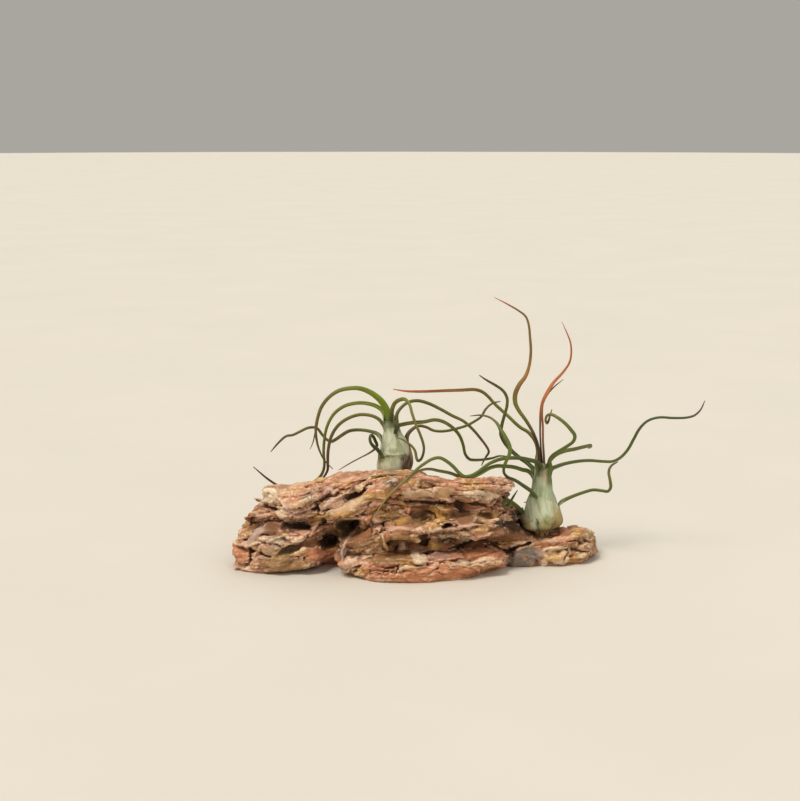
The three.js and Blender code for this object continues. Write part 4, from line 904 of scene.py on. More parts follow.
def stain_and_shade(mesh, bulb):
    """Lays the bulb's stains and painted shade over the tones of a leaf."""
    points = points_of(mesh)
    height, direction, _, near = bulb_places(points, bulb)
    tone = read(mesh.attributes["tone"].data, "color", 4)[:, :3]
    ragged = layered_noise(points / SPOT_SIZE, 2, seed=15)
    for at, level, wide, tall, name, strength in bulb["stains_and_shade"]:
        away = np.hypot(apart(direction, at) / wide, (height - level) / tall) + SPOT_RAGGED * ragged
        cover = strength * (1 - smooth(*SPOT_EDGE, away)) * near
        tone = mix(tone, np.array(TONES[name]), cover[:, None])
    store(mesh, tone=coloured(tone))


# ---------------------------------------------------------------- finishes of the plants

# What the leaves' material lays over their tones.
MOTTLE_COLOUR = (0.58, 0.60, 0.50, 1)
SCALE_COLOUR = (0.66, 0.66, 0.47, 1)
CHANNEL_COLOUR = (0.20, 0.23, 0.05, 1)
MARGIN_COLOUR = (0.27, 0.12, 0.06, 1)
GRAIN_STRETCH = 0.16    # how fine the grain is along a leaf, where across it is 1

BARK_STOPS = [(0.25, (0.045, 0.018, 0.010)), (0.5, (0.16, 0.055, 0.025)), (0.75, (0.32, 0.15, 0.07))]


def scales_group():
    """The silvery scales that these plants drink with: a cover that gathers in streaks."""
    nodes = group_tree(
        "silver scales", "ShaderNodeTree",
        [("Streak", "NodeSocketFloat", 0.5), ("Fleck", "NodeSocketFloat", 0.5)],
        [("Cover", "NodeSocketFloat")])
    given = nodes.input.outputs
    broad = nodes.remap(given["Streak"], 0.38, 0.68)
    fine = nodes.remap(given["Fleck"], 0.35, 0.7)
    cover = nodes.weighted((broad, 0.3), (nodes.math("MULTIPLY", broad, fine), 0.7))
    nodes.put(nodes.output.inputs["Cover"], cover)


def leaf_material():
    """Leaf skin: the tone of each part, silvery scales in streaks, a paler channel and darker margins."""
    made, nodes, shader = material("leaf_skin", 0.5)
    across = nodes.attribute("across")
    wide = nodes.math("MULTIPLY", across, nodes.attribute("width"))
    long = nodes.math("MULTIPLY", nodes.attribute("run"), GRAIN_STRETCH)
    grain = nodes.combined(wide, long, nodes.attribute("number"))
    streak = nodes.noise(grain, scale=0.9, roughness=0.6)
    fleck = nodes.noise(grain, scale=4.5, roughness=0.65)
    mottle = nodes.noise(grain, scale=0.35, roughness=0.55)
    scales = nodes.group("silver scales", {"Streak": streak, "Fleck": fleck})
    blade = nodes.remap(nodes.attribute("age"), 0.85, 1.06)
    sheath = nodes.math("SUBTRACT", 1.0, blade)

    tone = nodes.attribute("tone", "Color")
    dark = nodes.mix(1.0, tone, MOTTLE_COLOUR, "MULTIPLY")
    colour = nodes.mix(nodes.remap(mottle, 0.52, 0.36, 0.0, 0.5), tone, dark)
    cover = nodes.math("MULTIPLY", scales["Cover"], nodes.math("MULTIPLY_ADD", sheath, 0.45, 0.05))
    colour = nodes.mix(cover, colour, SCALE_COLOUR)
    channel = nodes.math("MULTIPLY", nodes.remap(nodes.attribute("face"), 0.2, -0.6), blade)
    colour = nodes.mix(nodes.math("MULTIPLY", channel, 0.4), colour, CHANNEL_COLOUR)
    margin = nodes.remap(nodes.math("ABSOLUTE", across), 0.945, 0.985)
    margin = nodes.math("MULTIPLY", margin, nodes.math("MULTIPLY", sheath, 0.5))
    nodes.put(shader.inputs["Base Color"], nodes.mix(margin, colour, MARGIN_COLOUR))
    nodes.put(shader.inputs["Roughness"], nodes.math("MULTIPLY_ADD", sheath, 0.28, 0.46))
    height = nodes.weighted((streak, 0.8), (fleck, 0.35))
    nodes.put(shader.inputs["Normal"], nodes.bump(height, 0.5, 0.5 * MM))
    return made


def root_material():
    made, nodes, shader = material("root_bark", 0.8)
    grain = nodes.noise(nodes.place(), scale=900.0, detail=4.0, roughness=0.6)
    nodes.put(shader.inputs["Base Color"], nodes.ramp(grain, BARK_STOPS))
    nodes.put(shader.inputs["Normal"], nodes.bump(grain, 0.6, 0.4 * MM))
    return made


# ---------------------------------------------------------------- hearts: inner bulb, young leaves and roots

HEART_SIDES = 56
HEART_RINGS = 40
HEART_FOOT = (0.2, 3.4)     # height and radius of the inner bulb's lowest ring
HEART_TIP_RADIUS = 1.2
HEART_WIDTH = 12.0          # how wide the grain takes the inner bulb to be
HEART_AGE = 0.8             # the age of its skin at its tip, on a leaf's scale
HEART_ACROSS = 0.9          # how near its skin comes to a leaf's margins
HEART_TONES = [(0, "khaki"), (0.5, "sage"), (0.9, "moss"), (1, "deep")]
YOUNG_NUMBER = 31           # number of the first young leaf, which sets its grain

ROOT_SEED = 5
ROOT_STEPS = 9
ROOT_LENGTH = (8, 11.5)     # least and most, millimetres
ROOT_SWAY = (-22, 22)       # least and most, degrees
ROOT_START = 2.0            # distance of its first point from the stem's middle
ROOT_HEIGHTS = (2.1, 0.6)   # height of its first point and of its end
ROOT_WAVE = (0.35, 5)       # height of its waves, and how many
ROOT_LEAST_HEIGHT = 0.45
ROOT_RADII = (0.62, 0.22)
ROOT_ROLL, ROOT_THICKNESS = 0.55, 0.9   # shares of its radius that make its skin round
ROOT_TONES = [(1, "umber"), (2, "brown")]


def inner_bulb(bulb):
    """The bulb inside its sheaths, as a closed round body."""
    heights = np.concatenate([HEART_FOOT[:1], np.linspace(1, bulb["top"] - 1, HEART_RINGS), [bulb["top"]]])
    radius = layer_radius(bulb, HEART_LAYER, heights)
    radius[0], radius[-1] = HEART_FOOT[1], HEART_TIP_RADIUS
    centre = bulb_centre(bulb, heights)
    out = radial(np.linspace(0, 360, HEART_SIDES, endpoint=False))
    points = (centre[:, None, :] + out[None] * radius[:, None, None]).reshape(-1, 3)
    faces = []
    for ring in range(len(heights) - 1):
        for side in range(HEART_SIDES):
            a = ring * HEART_SIDES + side
            b = ring * HEART_SIDES + (side + 1) % HEART_SIDES
            faces.append((a, b, b + HEART_SIDES, a + HEART_SIDES))
    faces.append(tuple(range(HEART_SIDES - 1, -1, -1)))
    faces.append(tuple(range(len(points) - HEART_SIDES, len(points))))
    return points, faces, np.repeat(heights, HEART_SIDES)


def build_core(name, bulb, skin):
    """The inner bulb as an object with the attributes that its material reads."""
    points, faces, heights = inner_bulb(bulb)
    core = mesh_object(name, points * MM, faces)
    core.data.materials.append(skin)
    shade_smooth(core.data)
    age = heights / bulb["top"]
    across = np.tile(np.linspace(-1, 1, HEART_SIDES), len(heights) // HEART_SIDES)
    store(core.data, age=age * HEART_AGE, run=heights, width=HEART_WIDTH, across=across * HEART_ACROSS,
          face=1.0, number=3.0, tone=coloured(tone_colours(HEART_TONES, age)))
    outward_faces(core.data)
    plump(core.data, bulb)
    stain_and_shade(core.data, bulb)
    return core


def root_sections(bulb, direction, draw):
    """A wiry root: out from under the stem and down on to the stone."""
    steps = np.linspace(0, 1, ROOT_STEPS)
    length = draw.uniform(*ROOT_LENGTH)
    sway = draw.uniform(*ROOT_SWAY)
    out = radial(direction + sway * steps ** 2)
    reach = ROOT_START + length * steps
    top, end = ROOT_HEIGHTS
    wave, count = ROOT_WAVE
    height = top - (top - end) * smooth(0, 0.5, steps) + wave * np.sin(steps * count + sway)
    line = bulb_centre(bulb, np.zeros(ROOT_STEPS)) + out * reach[:, None]
    line[:, 2] = bulb["base"] + np.maximum(ROOT_LEAST_HEIGHT, height)
    radius = mix(*ROOT_RADII, steps)
    return {"centre": line, "out": np.tile([0.0, 0.0, 1.0], (ROOT_STEPS, 1)), "radius": radius * ROOT_ROLL,
            "half": radius * ROOT_ROLL * math.pi, "thick": radius * ROOT_THICKNESS, "age": 1 + steps}


def join_pieces(name, pieces):
    with bpy.context.temp_override(active_object=pieces[0], selected_editable_objects=pieces):
        bpy.ops.object.join()
    pieces[0].name = name
    return pieces[0]


def finish_piece(piece, nodes):
    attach(piece, "root")
    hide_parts(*nodes)


def build_heart(side, tree, skin, bark):
    bulb = BULBS[side]
    name = side + "_heart"
    pieces = [build_core(name + "_core", bulb, skin)]
    for number, leaf in enumerate(YOUNG_LEAVES[name]):
        line = smooth_line(leaf["route"], BLADE_STEP)
        sections = blade_sections(line, np.array([0.0, -1.0, 0.0]), leaf)
        grain = YOUNG_NUMBER + number
        pieces.append(skinned(f"{name}_{number}", sections, leaf["tones"], tree, skin, grain))
    draw = np.random.default_rng(ROOT_SEED)
    for number, direction in enumerate(bulb["roots"]):
        sections = root_sections(bulb, direction, draw)
        pieces.append(skinned(f"{name}_root_{number}", sections, ROOT_TONES, tree, bark, number))
    heart = join_pieces(name + "_finish", pieces)
    finish_piece(heart, [name])


def build_plants():
    scales_group()
    skin = leaf_material()
    bark = root_material()
    tree = leaf_skin_tree()
    for number, (name, leaf) in enumerate(LEAVES.items()):
        bulb = BULBS[name.split("_")[0]]
        points = SHEATH_POINTS if leaf["layer"] < SHOWN_LAYERS else BLADE_POINTS
        made = skinned(name + "_finish", leaf_sections(bulb, leaf), leaf["tones"], tree, skin, number, points)
        plump(made.data, bulb)
        stain_and_shade(made.data, bulb)
        finish_piece(made, [name])
    for side in BULBS:
        build_heart(side, tree, skin, bark)


# ---------------------------------------------------------------- stone

COARSE_VOXEL = 1.6      # millimetres: of the stone while its forms are carved,
VOXEL = 1.1             # and when it is finished
MERGE_DISTANCE = 0.01
FLAT_BASE = 0.35        # what starts lower than this stays flat on the ground

STONE_TONES = {
    "white": (0.84, 0.66, 0.47),
    "cream": (0.72, 0.50, 0.31),
    "blush": (0.70, 0.42, 0.30),
    "salmon": (0.60, 0.25, 0.12),
    "rust": (0.34, 0.12, 0.045),
    "ochre": (0.52, 0.27, 0.055),
    "tan": (0.42, 0.24, 0.115),
    "brown": (0.22, 0.098, 0.038),
    "khaki": (0.30, 0.17, 0.06),
    "olive": (0.12, 0.082, 0.035),
    "grey": (0.22, 0.175, 0.14),
    "mauve": (0.44, 0.30, 0.24),
    # Near-black umber is painted shade in the holes, pits, creases, undercuts and hollows of the front; the
    # seams' dark lines use it too.
    "umber": (0.055, 0.022, 0.011),
    "yellow": (0.66, 0.37, 0.075),
    "tawny": (0.40, 0.235, 0.11),
    "hazel": (0.34, 0.19, 0.078),
    "sepia": (0.27, 0.13, 0.052),
    "petal": (0.78, 0.50, 0.40),
}

# The photograph's frame, in pixels: the stone's front forms are placed in it, then carved in millimetres.
PHOTO_WIDTH, PHOTO_HEIGHT = 800, 801
PHOTO_FOCAL = PHOTO_WIDTH * LENS / SENSOR_WIDTH
PIXEL = DISTANCE / MM / PHOTO_FOCAL     # one pixel at the target, millimetres

# How far the upper surfaces of the stone and of its foot rise or sink at each pixel column, millimetres.
CREST = [[240, 0], [262, 5], [272, 4.5], [290, 2], [305, 1.5], [325, 1.5], [343, -3.5], [357, -2],
         [375, 0], [400, 1], [418, 3.3], [435, 4], [450, 2.5], [465, 1.5], [480, 2.5], [496, 4],
         [510, 2], [520, 0]]
FOOT = [[515, 0], [530, -5], [560, -5], [570, -2.5], [577, -0.8], [586, -2.6], [597, -5], [612, -6]]
CREST_HEIGHTS = (33, 42)        # millimetres above the ground where the crest's change sets in
CREST_CLEARANCE = (12, 18)      # how far it keeps from the middle of the left bulb
FOOT_HEIGHTS = (7, 13)          # where the foot's change sets in,
FOOT_TOP = (24, 30)             # and where it ends above
FOOT_COLUMN = 512               # the pixel column where the foot starts
BULB_REACH = 16                 # within this distance of the right bulb's middle
BULB_FRONT = (4, -6)            # the foot changes only in front of it

# The stone's left outline in the photograph, row and column, and the share of what lies past it that is cut.
LEFT_EDGE = [[484, 274], [487, 267], [490, 261.5], [494, 259], [499, 257.5], [502, 259.5], [505, 261.5],
             [508, 253], [512, 247], [523, 241.5], [533, 239], [540, 237.5], [548, 232], [556, 228.5],
             [562, 227.5], [580, 230]]
LEFT_CUT = 0.9

# How far the left cap, the upper slab's right end and the foot's are drawn out at each row, in pixels, and
# the columns over which that fades away from the end.
CAP_END = [[482, 0], [488, 4], [493, 5], [497, 7], [500, 8], [502, 3], [504, 0], [511, 1], [515, 5],
           [520, 7.5], [524, 4], [528, 0]]
CAP_COLUMNS = (264, 288)
SLAB_END = [[472, 0], [478, 5], [484, 6], [490, 3], [495, -2], [503, -3], [508, 3], [513, 8], [520, 5],
            [527, 0]]
SLAB_COLUMNS = (492, 512)
SLAB_LIMIT = 523
FOOT_END = [[527, 0], [535, 2.5], [549, 3.5], [558, 2.5], [566, 0]]
FOOT_COLUMNS = (572, 596)

# How far the lower front edge draws back under the stone at each column, millimetres, and the heights and the
# depths between which that fades out.
UNDERCUT = [[430, 0], [455, 5], [475, 8], [500, 12], [514, 9], [524, 0]]
UNDERCUT_HEIGHTS = (1, 9)
UNDERCUT_DEPTHS = (-42, -18)

# Forms on the front: middle column and row, half width and half height in pixels, how steeply the form
# rises to the right in degrees, how far it stands out in millimetres, its tone, the tone's strength, and
# how smooth. The umber of the forms sunk into holes, pits, creases, undercuts and hollows, the brown of
# the recess under the slab and the rust of the recess under the foot's ledge are painted shade.
FORMS = {
    "left end": (239, 554, 10, 12, 60, 1.0, "salmon", 0.9, 0.5),
    "left brown hollow": (257, 522, 11, 5.5, 45, -5.0, "brown", 1.0, 0.75),
    "left shoulder": (246, 521, 6, 4.5, 60, 0.5, "ochre", 0.6, 0.2),
    # Painted shade: umber in the left crease.
    "left crease": (259, 528, 12, 2.6, 42, -4.0, "umber", 0.95, 0.7),
    "mauve face": (257, 534, 13, 4.5, 42, 1.5, "mauve", 1.0, 1.0),
    "left cap": (268, 495, 11, 8.5, 10, 2.0, "white", 1.0, 0.7),
    "tan chip": (284, 487, 6, 3, 30, 1.5, "tan", 0.8, 1.0),
    "second cap": (281, 511, 8.5, 10.5, -25, 3.5, "white", 1.0, 0.5),
    "second lump": (296, 511, 20, 10, -4, 2.0, "blush", 0.6, 0.45),
    "ochre shelves": (301, 505, 13, 4.5, 10, 0.5, "ochre", 0.6, 0.3),
    "shelf blush": (292, 516, 10, 3, -10, 1.0, "blush", 0.7, 0.3),
    # Painted shadow: umber in the long undercut and its notch, under the overhang.
    "long undercut": (297, 526, 17, 4.5, -4, -10.0, "umber", 0.9, 0.7),
    "undercut notch": (284, 528, 4, 4, 0, -8.0, "umber", 0.9, 0.7),
    "brown bowl": (272, 528, 8, 9, 50, -2.5, "brown", 0.8, 0.6),
    "green scoop": (290, 549, 17, 5.5, 22, -5.0, "olive", 0.9, 1.0),
    "scoop cap": (290, 536, 8, 4, 15, 1.5, "blush", 0.7, 0.3),
    "left fold": (264, 553, 14, 9, 30, 1.0, "blush", 0.4, 0.0),
    "lobe": (284, 565, 31, 9.5, 2, 1.5, "hazel", 0.9, 0.65),
    "bridge": (317, 554, 16, 6, 3, 0.0, "salmon", 1.0, 0.9),
    "bridge roof": (309, 542.5, 13, 5.5, 8, -3.0, "brown", 0.9, 0.9),
    # Painted shade: umber in the lower hole.
    "lower hole": (328, 541, 12, 7.5, -5, -16.0, "umber", 0.95, 1.0),
    "ochre pillar": (317, 520, 6, 9, 70, 1.0, "ochre", 0.7, 0.2),
    "pillar foot": (333, 527, 8, 5, -20, 1.0, "salmon", 0.7, 0.4),
    "deep hole": (345, 529, 19, 10.5, 25, -15.0, "olive", 1.0, 1.0),
    "hole floor": (335, 533, 8, 7, -30, 3.0, "khaki", 0.8, 1.0),
    # Painted shade: umber at the deep hole's end.
    "deep hole end": (356, 525, 8, 7, 40, -6.0, "umber", 1.0, 1.0),
    "tilted face": (348, 506, 27, 6, 24, 3.0, "cream", 0.8, 0.6),
    "tilted blush": (338, 502, 12, 3.5, 28, 0.5, "blush", 0.7, 0.5),
    "tilted ochre": (345, 514, 17, 3.5, 8, 1.0, "ochre", 0.8, 0.4),
    "tilted tan": (374, 496, 9, 5, 15, 0.5, "ochre", 0.6, 0.4),
    "upper blush": (331, 491, 10, 4.5, 8, 1.0, "petal", 0.9, 0.5),
    # Painted shade: umber in the three pits below.
    "upper pit": (348, 491, 3.8, 1.6, 10, -2.5, "umber", 0.8, 0.5),
    "middle pit": (326, 500, 5, 2, 15, -4.0, "umber", 0.8, 0.5),
    "small pit": (316, 510, 5, 2.4, 10, -5.0, "umber", 0.8, 0.5),
    "fibre": (362, 542, 19, 16, 25, 4.0, "sepia", 0.95, 0.6),
    "fibre crown": (366, 532, 10, 4, 25, 0.5, "rust", 0.5, 0.5),
    "cheek": (368, 520, 9, 6, 30, 2.0, "salmon", 0.85, 0.5),
    "grey edge": (342, 553, 4.5, 14, -20, 1.0, "grey", 0.9, 0.8),
    "orange foot": (335, 566, 8, 8, -40, 0.0, "salmon", 0.9, 0.5),
    "cream cluster": (350, 565, 8, 6, 0, 1.5, "blush", 0.7, 0.2),
    "olive shelf": (385, 559, 22, 5, 3, 0.5, "khaki", 0.8, 0.3),
    "left lump": (398, 532, 18, 8, 18, 4.0, "salmon", 0.8, 0.6),
    "lump belly": (398, 540, 16, 6, 10, 2.5, "khaki", 0.9, 0.75),
    "cream nub": (401, 546.5, 5.5, 4.5, 30, 2.5, "cream", 1.0, 0.3),
    # Painted shade: umber in the low cavity.
    "low cavity": (405, 552, 14, 2.4, -3, -2.0, "umber", 0.6, 0.8),
    "cavity wall": (421, 548, 11, 5, 0, 2.0, "tan", 0.7, 0.9),
    "white lump": (419, 557.5, 9.5, 7, -30, 3.5, "white", 0.9, 0.0),
    "blush strip": (440, 556, 14, 3, 0, 1.0, "mauve", 0.7, 0.4),
    "right cream": (479, 495, 24, 5, -4, 1.5, "white", 0.9, 0.4),
    "left cream": (416, 494, 22, 4.5, -3, 1.5, "cream", 0.9, 0.6),
    "slab ochre": (417, 484, 12, 4, -5, 0.0, "ochre", 0.8, 0.2),
    "slab brown": (384, 493, 12, 4, 10, 0.0, "ochre", 0.7, 0.3),
    "tan oval": (445, 493, 13, 7, 25, 1.0, "tawny", 1.0, 1.0),
    "yellow shelf": (384, 510, 15, 5, 5, 1.0, "ochre", 0.8, 0.2),
    "shelf lump": (408, 510, 6, 4.5, 10, 1.5, "salmon", 0.9, 0.5),
    "ochre lump": (402, 521, 8, 4.5, 10, 1.5, "ochre", 0.9, 0.4),
    # Painted shade: umber in the shelf pit, and brown in the recess under the slab.
    "shelf pit": (380, 524, 9, 3, 10, -4.0, "umber", 0.8, 0.5),
    "recess": (422, 506, 17, 4.5, -4, -5.0, "brown", 0.9, 0.3),
    "hollow": (420, 519, 13, 7, 10, -3.0, "khaki", 0.9, 0.5),
    "ochre crumb": (440, 513, 16, 12, 0, 3.0, "ochre", 1.0, 0.1),
    "crumb side": (454, 513, 8, 6, 0, 3.5, "brown", 0.8, 0.6),
    # Painted shade: umber in the crumb hole.
    "crumb hole": (446, 526.5, 7, 3.2, 14, -13.0, "umber", 1.0, 0.9),
    "crumb face": (464, 518, 11, 7, 5, -0.5, "brown", 0.9, 0.9),
    # Painted shade: umber in the right pits.
    "right pits": (486, 516, 10, 3, -5, -5.0, "umber", 0.8, 0.5),
    "right shelf": (486, 507, 24, 4, -10, 2.0, "salmon", 0.9, 0.4),
    "shelf fill": (468, 503.5, 14, 3, 3, 2.5, "ochre", 0.7, 0.4),
    "olive crust": (453, 535, 20, 5, 8, -0.5, "khaki", 0.8, 0.1),
    # Painted shade: umber in the second hole.
    "second hole": (424, 537, 5.5, 2.6, 5, -6.0, "umber", 1.0, 0.9),
    "yellow lump": (434.5, 545, 8, 4.5, -5, 4.5, "yellow", 1.0, 0.4),
    "orange patch": (447, 548, 9, 5, 20, 0.5, "salmon", 0.9, 0.4),
    "dark oval": (474, 544, 13, 4.5, 0, -2.0, "brown", 1.0, 1.0),
    "brown slab": (504, 537, 25, 6, 3, 0.5, "brown", 1.0, 0.9),
    "salmon ledge": (484, 552, 24, 5.5, 2, 2.0, "salmon", 1.0, 0.65),
    "speckled ledge": (474, 562, 30, 4.5, 9, 1.5, "cream", 0.88, 0.2),
    "salmon base": (432, 574, 64, 7, 5, 1.0, "salmon", 0.92, 0.65),
    # Painted shade: umber in the hollow by the bulb.
    "hollow by the bulb": (511, 525, 17, 6.5, -4, -8.0, "umber", 0.95, 0.6),
    "hollow floor": (498, 530, 12, 3, -3, -3.0, "brown", 1.0, 0.8),
    "slab end shade": (517, 515, 8, 8, 0, -2.0, "umber", 1.0, 0.5),
    "grey face": (524, 558, 21, 11.5, 24, 8.0, "grey", 1.0, 1.0),
    "grey rim": (540, 552, 6, 4, -40, 0.5, "mauve", 0.7, 1.0),
    "red speck": (525, 558, 2.8, 1.8, -20, 0.0, "salmon", 0.65, 1.0),
    # Painted shade: rust in the recess under the foot's ledge.
    "foot recess": (549, 545, 18, 3, 4, -3.0, "rust", 0.9, 0.5),
    "foot cream": (557.5, 556, 13.5, 9, -8, 6.0, "cream", 1.0, 0.85),
    "foot cream low": (544, 562, 8, 5, 40, 4.0, "cream", 1.0, 0.8),
    "foot gold": (554, 558, 10, 5, 20, 0.5, "yellow", 0.5, 0.85),
    "foot lump": (566, 532, 8, 5, 10, 0.5, "rust", 0.7, 0.3),
    "rough end": (586, 545, 14, 17, -40, 0.0, "tan", 0.8, 0.0),
}

# Lines on the front: the columns and rows they pass, half width in pixels, how far out, tone and strength.
# The pale lines along crests, lips and rims are painted highlights. The dark line under the slab, and the
# lines named shade, are painted shadow.
LINES = {
    # Painted shadow: the umber line under the slab's lip.
    "slab undercut": ([(405, 500.5), (424, 502), (442, 503)], 2.0, -2.6, "umber", 0.7),
    "shelf shade": ([(442, 503), (475, 505), (506, 512)], 1.3, -2.2, "rust", 0.8),
    # Painted highlight: the pale line along the slab's lip.
    "slab lip": ([(378, 498), (404, 497.5), (428, 499.5), (450, 500.5)], 1.8, 1.2, "blush", 0.8),
    "pink ledge": ([(424, 531), (451, 528.5), (477, 524), (487, 525)], 1.6, 2.0, "blush", 0.8),
    "pink ledge shade": ([(424, 534), (451, 531.6), (477, 527)], 1.4, -1.6, "brown", 0.6),
    "base seam": ([(384, 567), (412, 565), (440, 562), (470, 557), (500, 551)], 1.2, -1.8, "rust", 0.7),
    # Painted highlight: the white line along the tilted slab's crest.
    "tilted crest": ([(321, 510), (330, 502), (344, 494.5), (359, 488), (375, 486)], 1.9, 1.2, "white", 0.8),
    "tilted underside": ([(327, 519), (345, 520), (361, 518)], 1.4, 1.0, "tan", 0.6),
    # Painted highlight: the cream lines along the fold's and the scoop's crests.
    "fold crest": ([(251, 561), (254, 551), (265, 543), (278, 537), (287, 534)], 1.5, 1.2, "cream", 0.8),
    "scoop crest": ([(275, 554), (282, 547), (292, 542), (303, 538)], 1.3, 0.8, "cream", 0.7),
    "fold seam": ([(250, 566), (249, 558), (250, 548)], 1.3, -2.0, "umber", 0.7),
    # Painted highlight: the pale lines along the fibre's rim, the second lip and the lump's crest.
    "fibre rim": ([(343, 562), (341, 550), (347, 538), (357, 528), (366, 518)], 1.6, 1.0, "blush", 0.8),
    "second lip": ([(276, 502), (274, 511), (280, 519), (294, 523), (309, 524)], 1.5, 0.8, "cream", 0.8),
    "lump crest": ([(380, 535), (390, 529), (402, 527), (413, 531)], 2.2, 1.2, "blush", 0.95),
    "lump seam": ([(377, 531), (379, 540), (383, 550), (396, 553)], 1.4, -1.6, "umber", 0.7),
    "cavity lip": ([(421, 553), (440, 552), (456, 552)], 1.3, -2.4, "umber", 0.8),
    "ledge seam": ([(449, 549), (462, 545), (474, 540), (487, 541), (500, 545)], 1.3, -2.0, "umber", 0.7),
    "cap crease": ([(262, 503), (266, 506), (272, 508)], 1.5, -1.5, "umber", 0.7),
    "foot seam": (
        [(490, 545), (500, 549.5), (508, 551), (516, 547.5), (530, 543.5)], 1.7, -4.0, "umber", 0.9),
    # Painted highlight: the cream and white lines along the foot's crests.
    "foot crest": ([(530, 545), (537, 541), (548, 538), (555, 539.5)], 1.5, 1.0, "cream", 0.8),
    "foot lower crest": ([(543, 550), (552, 547), (561, 547.5), (569, 549)], 2.2, 1.2, "white", 0.95),
    "face foot": ([(533, 567), (541, 566), (551, 564.5), (560, 563)], 1.5, 0.8, "white", 0.8),
    "foot crack": ([(569, 552), (566, 556), (564, 560)], 1.3, -2.0, "rust", 0.9),
    "upper seam": ([(348, 483), (372, 478), (396, 476), (420, 479), (440, 486)], 1.1, -1.6, "rust", 0.6),
    "right upper seam": ([(452, 483), (476, 484), (508, 485)], 1.0, -1.5, "rust", 0.6),
}

# What counts as the front: how far a surface turns to the camera, and how deep it lies, millimetres.
FRONT_TURN = (-0.35, 0.05)
FRONT_DEPTH = (5, 25)
FRONT = np.array(TO_CAMERA)

# How ragged the edges of the forms are, the size of that raggedness in millimetres, and the shares of a
# form's size between which its push and its tone fade out.
PUSH_RAGGED, PUSH_GRAIN, PUSH_EDGE = 0.22, 8, (0.45, 1.1)
TONE_RAGGED, TONE_GRAIN, TONE_EDGE = 0.26, 6, (0.75, 1.05)
LINE_RAGGED, LINE_EDGE = 1.6, (0.35, 1.15)

# The beds: left of which X they rise and how steeply, how they lean from front to back, and how high and how
# long their waves are, millimetres.
BED_RISES = ((-25, 0.30), (-75, -0.18))
BED_LEAN = 0.10
BED_WAVE, BED_WAVE_SIZE = 2.2, [48, 48, 60]

# Blocks of two sizes and chips: their size along and across the beds, millimetres, and how far one stands out
# from the next. Cracks between the blocks: their depth, and how wide they are as a share of a block.
LARGE_SIZE, SMALL_SIZE, CHIP_SIZE = [30, 30, 7.5], [12, 12, 3.6], [5, 5, 3.5]
LARGE_STEP, SMALL_STEP, CHIP_STEP = 4.6, 1.9, 0.8
LARGE_CRACK, SMALL_CRACK = (1.7, 0.11), (0.7, 0.13)

# How far the blocks' walls stray, and on each axis over what length, with what share and what seed.
BLOCK_WARP = 6
WARPS = ((13, 1.0, 41), (13, 1.0, 42), (9, 0.5, 43))

# Slots and thin layers along the beds, lumps and grain: their sizes and depths, millimetres, and each layer's
# seed.
SLOT_SIZE, SLOT_DEPTH, SLOT_THINNESS = (38, 6.0), 2.6, 6.5
LAYERS = (((16, 1.6), 0.45, 9), ((9, 0.9), 0.2, 13))
LUMP_SIZE, LUMP_DEPTH = 15, 0.8
GRAIN_SIZE, GRAIN_DEPTH = 3, 0.12

# Bedding shows on the steep faces: how level a face is where it stops showing, and how much is left there.
RIM_LEVEL = (0.5, 0.95)
RIM_TILT = (0.96, -0.2)     # on the left the beds lean, so the level face does too
RIM_TILT_END = -25
LEVEL_DEPTH, LEVEL_CRACKS = 0.25, 0.5
CALM_BLOCKS, CALM_LUMPS = 0.85, 0.6     # how much of the blocks and of the lumps a smooth form takes away
STAND = (0.5, 4.0)          # heights over which the carving sets in above the ground

# Edges, where the material paints a highlight, stand out of a surface averaged a few times; crevices, where
# it paints shade, lie under one averaged many times: how often, and how far a full edge stands out and a
# full crevice lies in, millimetres.
NEAR_ROUNDS, FAR_ROUNDS = 3, 14
EDGE_STANDS, CREVICE_DEEP = 0.35, 1.8
BLOCK_TINTS = (0.55, 0.3, 0.15)     # how much large blocks, small blocks and chips tint the stone

# Wide patches of colour: their size in millimetres, the noise over which they set in, how much low ground or
# the block's number adds, their strength and their seed.
ZONES = {
    "salmon": ([30, 30, 12], (0.0, 0.5), 0.5, 1.0, 31),
    "ochre": ([22, 22, 9], (0.1, 0.55), 0.5, 0.9, 32),
    "grey": ([18, 18, 10], (0.35, 0.7), 0.4, 0.9, 33),
}
LOW_GROUND = (10, 20)


def bed_level(points):
    """Height across the beds: they rise towards the middle on the left, and lie level on the right."""
    x, y, z = points.T
    rise = sum(slope * np.minimum(0, x - start) for start, slope in BED_RISES)
    return z - rise + BED_LEAN * y + BED_WAVE * noise(points / BED_WAVE_SIZE, seed=4)


def neighbours(mesh):
    pairs = np.zeros(len(mesh.edges) * 2, np.int32)
    mesh.edges.foreach_get("vertices", pairs)
    return pairs.reshape(-1, 2)


def spread(values, pairs, rounds, kept=0.4):
    """Averages a value over the neighbours of each point, again and again."""
    a, b = pairs.T
    count = np.bincount(pairs.ravel(), minlength=len(values)).astype(float)
    for _ in range(rounds):
        columns = values.reshape(len(values), -1)
        total = np.stack([np.bincount(a, column[b], len(values)) + np.bincount(b, column[a], len(values))
                          for column in columns.T], -1)
        values = (columns * kept + (1 - kept) * total / count[:, None]).reshape(values.shape)
    return values


def photo_place(points):
    """The pixel column and row where each point shows in the photograph."""
    from_target = points - np.array(TARGET) / MM
    depth = DISTANCE / MM - from_target @ FRONT
    column = PHOTO_WIDTH / 2 + from_target[:, 0] / depth * PHOTO_FOCAL
    row = PHOTO_HEIGHT / 2 - from_target @ np.array(PICTURE_UP) / depth * PHOTO_FOCAL
    return column, row


def front_share(points, normals):
    return smooth(*FRONT_TURN, normals @ FRONT) * (1 - smooth(*FRONT_DEPTH, points[:, 1]))


